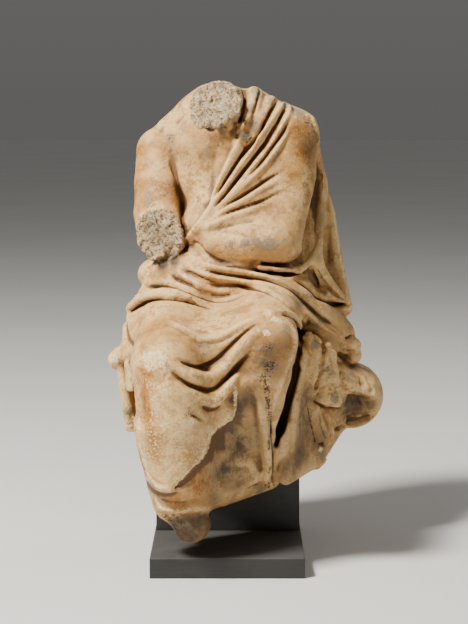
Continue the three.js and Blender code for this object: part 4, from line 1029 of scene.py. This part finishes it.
class Nodes:
    """A material's nodes, made and joined in short lines."""

    def __init__(self, name):
        self.material = bpy.data.materials.new(name)
        self.material.use_nodes = True
        self.tree = self.material.node_tree
        self.shader = self.tree.nodes["Principled BSDF"]
        self.where = self.tree.nodes.new("ShaderNodeTexCoord").outputs["Object"]

    def put(self, socket, value):
        if isinstance(value, bpy.types.NodeSocket):
            self.tree.links.new(value, socket)
        else:
            socket.default_value = value

    def finish(self, **sockets):
        for name, value in sockets.items():
            self.put(self.shader.inputs[name.replace("_", " ")], value)
        return self.material

    def noise(self, scale, detail=6.0, roughness=0.6, distortion=0.0, where=None):
        """Uneven pattern with forms about 1 / scale metres across."""
        node = self.tree.nodes.new("ShaderNodeTexNoise")
        self.tree.links.new(where or self.where, node.inputs["Vector"])
        node.inputs["Scale"].default_value = scale
        node.inputs["Detail"].default_value = detail
        node.inputs["Roughness"].default_value = roughness
        node.inputs["Distortion"].default_value = distortion
        return node.outputs["Fac"]

    def mark(self, name):
        node = self.tree.nodes.new("ShaderNodeAttribute")
        node.attribute_name = name
        return node.outputs["Fac"]

    def math(self, operation, *values):
        node = self.tree.nodes.new("ShaderNodeMath")
        node.operation = operation
        for socket, value in zip(node.inputs, values):
            self.put(socket, value)
        return node.outputs[0]

    def times(self, a, b):
        return self.math("MULTIPLY", a, b)

    def between(self, value, low, high, to_low=0.0, to_high=1.0):
        """value taken from the range low to high to another, and kept inside that."""
        node = self.tree.nodes.new("ShaderNodeMapRange")
        node.interpolation_type = "SMOOTHSTEP"
        for name, number in zip(("From Min", "From Max", "To Min", "To Max"), (low, high, to_low, to_high)):
            node.inputs[name].default_value = number
        self.tree.links.new(value, node.inputs["Value"])
        return node.outputs["Result"]

    def ragged(self, name, pattern, low=0.35, high=0.5):
        """A mark's area with its edge broken up by a pattern."""
        marked = self.mark(name)
        uneven = self.math("ADD", marked, self.between(pattern, 0.3, 0.7, -0.45, 0.45))
        return self.times(self.between(uneven, low, high), self.between(marked, 0.02, 0.2))

    def mix(self, share, a, b):
        node = self.tree.nodes.new("ShaderNodeMix")
        node.data_type = "RGBA"
        self.put(node.inputs["Factor"], share)
        self.put(node.inputs["A"], a if isinstance(a, bpy.types.NodeSocket) else (*a, 1))
        self.put(node.inputs["B"], b if isinstance(b, bpy.types.NodeSocket) else (*b, 1))
        return node.outputs["Result"]

    def bump(self, height, distance, strength=1.0, under=None):
        node = self.tree.nodes.new("ShaderNodeBump")
        node.inputs["Distance"].default_value = distance
        node.inputs["Strength"].default_value = strength
        self.tree.links.new(height, node.inputs["Height"])
        if under:
            self.tree.links.new(under, node.inputs["Normal"])
        return node.outputs["Normal"]


CREAM = (0.54, 0.30, 0.097)
PALE = (0.75, 0.49, 0.205)
HONEY = (0.37, 0.145, 0.014)
AMBER = (0.24, 0.092, 0.014)
TAN = (0.36, 0.18, 0.062)
BROWN = (0.10, 0.042, 0.014)
UMBER = (0.050, 0.028, 0.013)
LILAC = (0.45, 0.325, 0.205)
GREY = (0.29, 0.22, 0.14)
GRAIN_DARK = (0.15, 0.095, 0.05)
GRAIN_LIGHT = (0.82, 0.63, 0.38)
SOOT = (0.022, 0.017, 0.012)
CHALK = (0.82, 0.62, 0.33)
PAINT_DARK = (0.022, 0.0216, 0.020)
PAINT_LIGHT = (0.029, 0.0286, 0.0264)
PAINT_WORN = (0.036, 0.0354, 0.033)
PAINT_TOP_LIT_DUSTY = (0.066, 0.0648, 0.060)
DUST = (0.12, 0.115, 0.105)
FLOOR_DARK = (0.66, 0.65, 0.63)
FLOOR_LIGHT = (0.69, 0.68, 0.66)


def marble():
    n = Nodes("patinated_marble")
    cloudy = n.noise(11, 4, 0.6, 0.6)
    blotchy = n.noise(38, 7, 0.66, 0.4)
    patchy = n.noise(95, 6, 0.70)
    fine = n.noise(330, 5, 0.72)
    gritty = n.noise(400, 3, 0.7)
    coarse = n.noise(290, 4, 0.7)
    hollow = n.mark("hollow")
    colour = n.mix(n.between(cloudy, 0.42, 0.58), CREAM, PALE)
    colour = n.mix(n.between(blotchy, 0.50, 0.60, 0.0, 0.75), colour, TAN)
    colour = n.mix(n.between(patchy, 0.53, 0.64, 0.0, 0.65), colour, PALE)
    colour = n.mix(n.between(n.noise(60, 6, 0.7), 0.54, 0.64, 0.0, 0.6), colour, LILAC)
    clouded = n.math("ADD", fine, n.between(cloudy, 0.4, 0.6, -0.05, 0.05))
    colour = n.mix(n.between(clouded, 0.56, 0.66, 0.0, 0.75), colour, TAN)
    colour = n.mix(n.between(n.noise(520, 4, 0.7), 0.58, 0.66, 0.0, 0.6), colour, PALE)
    veil = n.times(n.between(patchy, 0.50, 0.62, 0.0, 0.7), n.between(cloudy, 0.46, 0.58))
    colour = n.mix(veil, colour, HONEY)
    warm = n.times(n.mark("honey"), n.between(blotchy, 0.34, 0.54, 0.5, 1.0))
    colour = n.mix(warm, colour, HONEY)
    deep = n.times(n.mark("honey"), n.between(patchy, 0.48, 0.60, 0.0, 0.85))
    colour = n.mix(deep, colour, AMBER)
    flecked = n.times(n.mark("honey"), n.between(fine, 0.54, 0.62, 0.0, 0.5))
    colour = n.mix(flecked, colour, PALE)
    # Hollows darkened to brown: painted shade in the creases, with grime.
    hollow_grime_and_shade = n.between(n.math("ADD", hollow, n.between(blotchy, 0.3, 0.7, -0.12, 0.12)), 0.05, 0.5, 0.0, 0.9)
    colour = n.mix(hollow_grime_and_shade, colour, BROWN)
    bare = n.math("SUBTRACT", 1.0, n.times(n.mark("honey"), 0.85))
    worn = n.times(n.between(hollow, -0.12, -0.5), n.between(patchy, 0.40, 0.58, 0.1, 0.9))
    worn = n.times(worn, bare)
    colour = n.mix(worn, colour, PALE)
    rubbed = n.times(n.between(hollow, -0.25, -0.6), n.between(fine, 0.52, 0.60, 0.0, 0.9))
    colour = n.mix(rubbed, colour, CHALK)
    colour = n.mix(n.times(n.ragged("grey", patchy), 0.85), colour, GREY)
    grey_grit = n.times(n.mark("grey"), n.between(fine, 0.50, 0.60, 0.0, 0.9))
    colour = n.mix(grey_grit, colour, LILAC)
    crystals = n.mix(n.between(coarse, 0.42, 0.54), GRAIN_DARK, GRAIN_LIGHT)
    crystals = n.mix(n.between(fine, 0.46, 0.58, 0.0, 0.75), crystals, GRAIN_LIGHT)
    crystals = n.mix(n.between(patchy, 0.50, 0.62, 0.0, 0.7), crystals, TAN)
    colour = n.mix(n.mark("broken"), colour, crystals)
    # Painted shade, with some brown stain, from the dark patches.
    stain_and_painted_shade = n.times(n.mark("dark"), n.between(blotchy, 0.30, 0.60, 0.75, 1.0))
    colour = n.mix(stain_and_painted_shade, colour, UMBER)
    # Chalky pale breaks, and painted highlights along the overfold, the second hem and the mantle's edge.
    pale_breaks_and_highlights = n.mix(n.between(fine, 0.50, 0.60, 0.0, 0.8), CHALK, CREAM)
    colour = n.mix(n.ragged("chalk_and_highlight", patchy, 0.30, 0.42), colour, pale_breaks_and_highlights)
    mixed = n.math("MULTIPLY_ADD", fine, 0.6, n.times(gritty, 0.4))
    specked = n.math("MULTIPLY_ADD", n.mark("soot"), 0.15, mixed)
    specks = n.times(n.between(specked, 0.60, 0.65, 0.0, 0.95), n.between(n.mark("soot"), 0.0, 0.3))
    colour = n.mix(specks, colour, SOOT)
    pits = n.between(n.math("ADD", gritty, n.between(blotchy, 0.35, 0.7, -0.07, 0.07)), 0.63, 0.70, 0.0, 0.8)
    colour = n.mix(pits, colour, BROWN)

    skin = n.bump(patchy, 0.0032, 0.5)
    skin = n.bump(fine, 0.0016, 0.65, skin)
    rough_share = n.math("MAXIMUM", n.mark("broken"), n.times(n.mark("grey"), 0.5))
    grain = n.times(n.noise(420, 4, 0.75), rough_share)
    skin = n.bump(grain, 0.005, 1.0, skin)
    roughness = n.between(rough_share, 0.0, 1.0, 0.5, 0.85)
    return n.finish(Base_Color=colour, Roughness=roughness, Normal=skin, Specular_IOR_Level=0.35)


def mount_paint():
    n = Nodes("painted_wood")
    stretched = n.tree.nodes.new("ShaderNodeMapping")
    stretched.inputs["Scale"].default_value = (0.12, 1, 1)
    n.tree.links.new(n.where, stretched.inputs["Vector"])
    brushed = n.noise(420, 4, 0.5, where=stretched.outputs["Vector"])
    cloudy = n.noise(18, 3)
    colour = n.mix(n.between(brushed, 0.3, 0.7), PAINT_DARK, PAINT_LIGHT)
    colour = n.mix(n.between(cloudy, 0.4, 0.65, 0.0, 0.5), colour, PAINT_WORN)
    facing = n.tree.nodes.new("ShaderNodeSeparateXYZ")
    n.tree.links.new(n.tree.nodes.new("ShaderNodeNewGeometry").outputs["Normal"], facing.inputs["Vector"])
    # Upward faces painted lighter: painted top light, with dust settled on them.
    top_light_and_dust = n.times(n.between(facing.outputs["Z"], 0.5, 0.95), n.between(cloudy, 0.3, 0.7, 0.7, 1.0))
    colour = n.mix(top_light_and_dust, colour, PAINT_TOP_LIT_DUSTY)
    dust = n.between(n.noise(900, 2), 0.68, 0.76, 0.0, 0.3)
    colour = n.mix(dust, colour, DUST)
    skin = n.bump(brushed, 0.0003, 0.3)
    roughness = n.between(cloudy, 0.3, 0.7, 0.5, 0.66)
    return n.finish(Base_Color=colour, Roughness=roughness, Normal=skin, Specular_IOR_Level=0.4)


def floor_finish():
    n = Nodes("pale_floor")
    colour = n.mix(n.between(n.noise(1.2, 2), 0.3, 0.7), FLOOR_DARK, FLOOR_LIGHT)
    return n.finish(Base_Color=colour, Roughness=0.9)


# The object

marble_finish, paint_finish = marble(), mount_paint()
figure = statue()
figure.data.materials.append(marble_finish)
foot = slab("foot_slab", (-SLAB_WIDTH / 2, -SLAB_DEPTH / 2, 0),
            (SLAB_WIDTH / 2, SLAB_DEPTH / 2, SLAB_THICKNESS), SLAB_EDGE)
upright = slab("upright_block", (-UPRIGHT_WIDTH / 2, UPRIGHT_FACE_Y, SLAB_THICKNESS + GAP),
               (UPRIGHT_WIDTH / 2, UPRIGHT_FACE_Y + UPRIGHT_DEPTH, SEAT_HEIGHT), UPRIGHT_EDGE)
for piece, node, finish in ((figure, "statue", "marble"), (foot, "mount_foot", "mount_paint"),
                            (upright, "mount_upright", "mount_paint")):
    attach(piece, "root")
    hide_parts(node)
for piece in (foot, upright):
    piece.data.materials.append(paint_finish)

# Floor, light and camera

FLOOR_HALF = 30.0

floor_mesh = mesh_of("floor", np.array([(-FLOOR_HALF, -FLOOR_HALF, 0), (FLOOR_HALF, -FLOOR_HALF, 0),
                                        (FLOOR_HALF, FLOOR_HALF, 0), (-FLOOR_HALF, FLOOR_HALF, 0)]),
                     np.array([(0, 1, 2, 3)]))
link("floor", floor_mesh, floor_finish())


LIT_PLACE = (0, 0, 0.4)
LIGHTS = (("key_light", (-1.5, -1.25, 2.75), 0.55, 258, (1.0, 0.96, 0.90)),
          ("fill_light", (2.2, -1.6, 1.0), 1.6, 3, (1.0, 0.98, 0.96)),
          ("rim_light", (1.6, 1.4, 1.9), 0.8, 12, (1.0, 0.98, 0.95)))

for name, at, size, power, colour in LIGHTS:
    light = bpy.data.lights.new(name, "AREA")
    light.size = size
    light.energy = power
    light.color = colour
    lamp = bpy.data.objects.new(name, light)
    lamp.location = at
    lamp.rotation_euler = (Vector(LIT_PLACE) - Vector(at)).to_track_quat("-Z", "Y").to_euler()
    bpy.context.scene.collection.objects.link(lamp)

WORLD_HORIZON = (0.118, 0.116, 0.113)
WORLD_ABOVE = (0.178, 0.176, 0.172)
WORLD_FADE = 0.35


def studio_world():
    """Dim all round, and as bright at the horizon as the floor's far end, so that they meet unseen."""
    world = bpy.data.worlds.new("studio")
    world.use_nodes = True
    tree = world.node_tree
    direction = tree.nodes.new("ShaderNodeTexCoord").outputs["Generated"]
    parts = tree.nodes.new("ShaderNodeSeparateXYZ")
    height = tree.nodes.new("ShaderNodeMapRange")
    height.inputs["From Max"].default_value = WORLD_FADE
    shade = tree.nodes.new("ShaderNodeMix")
    shade.data_type = "RGBA"
    shade.inputs["A"].default_value = (*WORLD_HORIZON, 1)
    shade.inputs["B"].default_value = (*WORLD_ABOVE, 1)
    for value, socket in ((direction, parts.inputs["Vector"]), (parts.outputs["Z"], height.inputs["Value"]),
                          (height.outputs["Result"], shade.inputs["Factor"]),
                          (shade.outputs["Result"], tree.nodes["Background"].inputs["Color"])):
        tree.links.new(value, socket)
    return world


bpy.context.scene.world = studio_world()

CAMERA_TILT = 4.066
CAMERA_LENS, CAMERA_SENSOR = 101.03, 36
CAMERA_SHIFT = (-3 / 624, -0.13)
camera = bpy.data.cameras.new("camera")
camera.sensor_width = CAMERA_SENSOR
camera.lens = CAMERA_LENS
camera.shift_x, camera.shift_y = CAMERA_SHIFT
eye = bpy.data.objects.new("camera", camera)
eye.location = (FIGURE_SHIFT_X, -EYE_DISTANCE * UNIT, FIGURE_BASE)
eye.rotation_euler = (radians(90 - CAMERA_TILT), 0, 0)
bpy.context.scene.collection.objects.link(eye)
bpy.context.scene.camera = eye
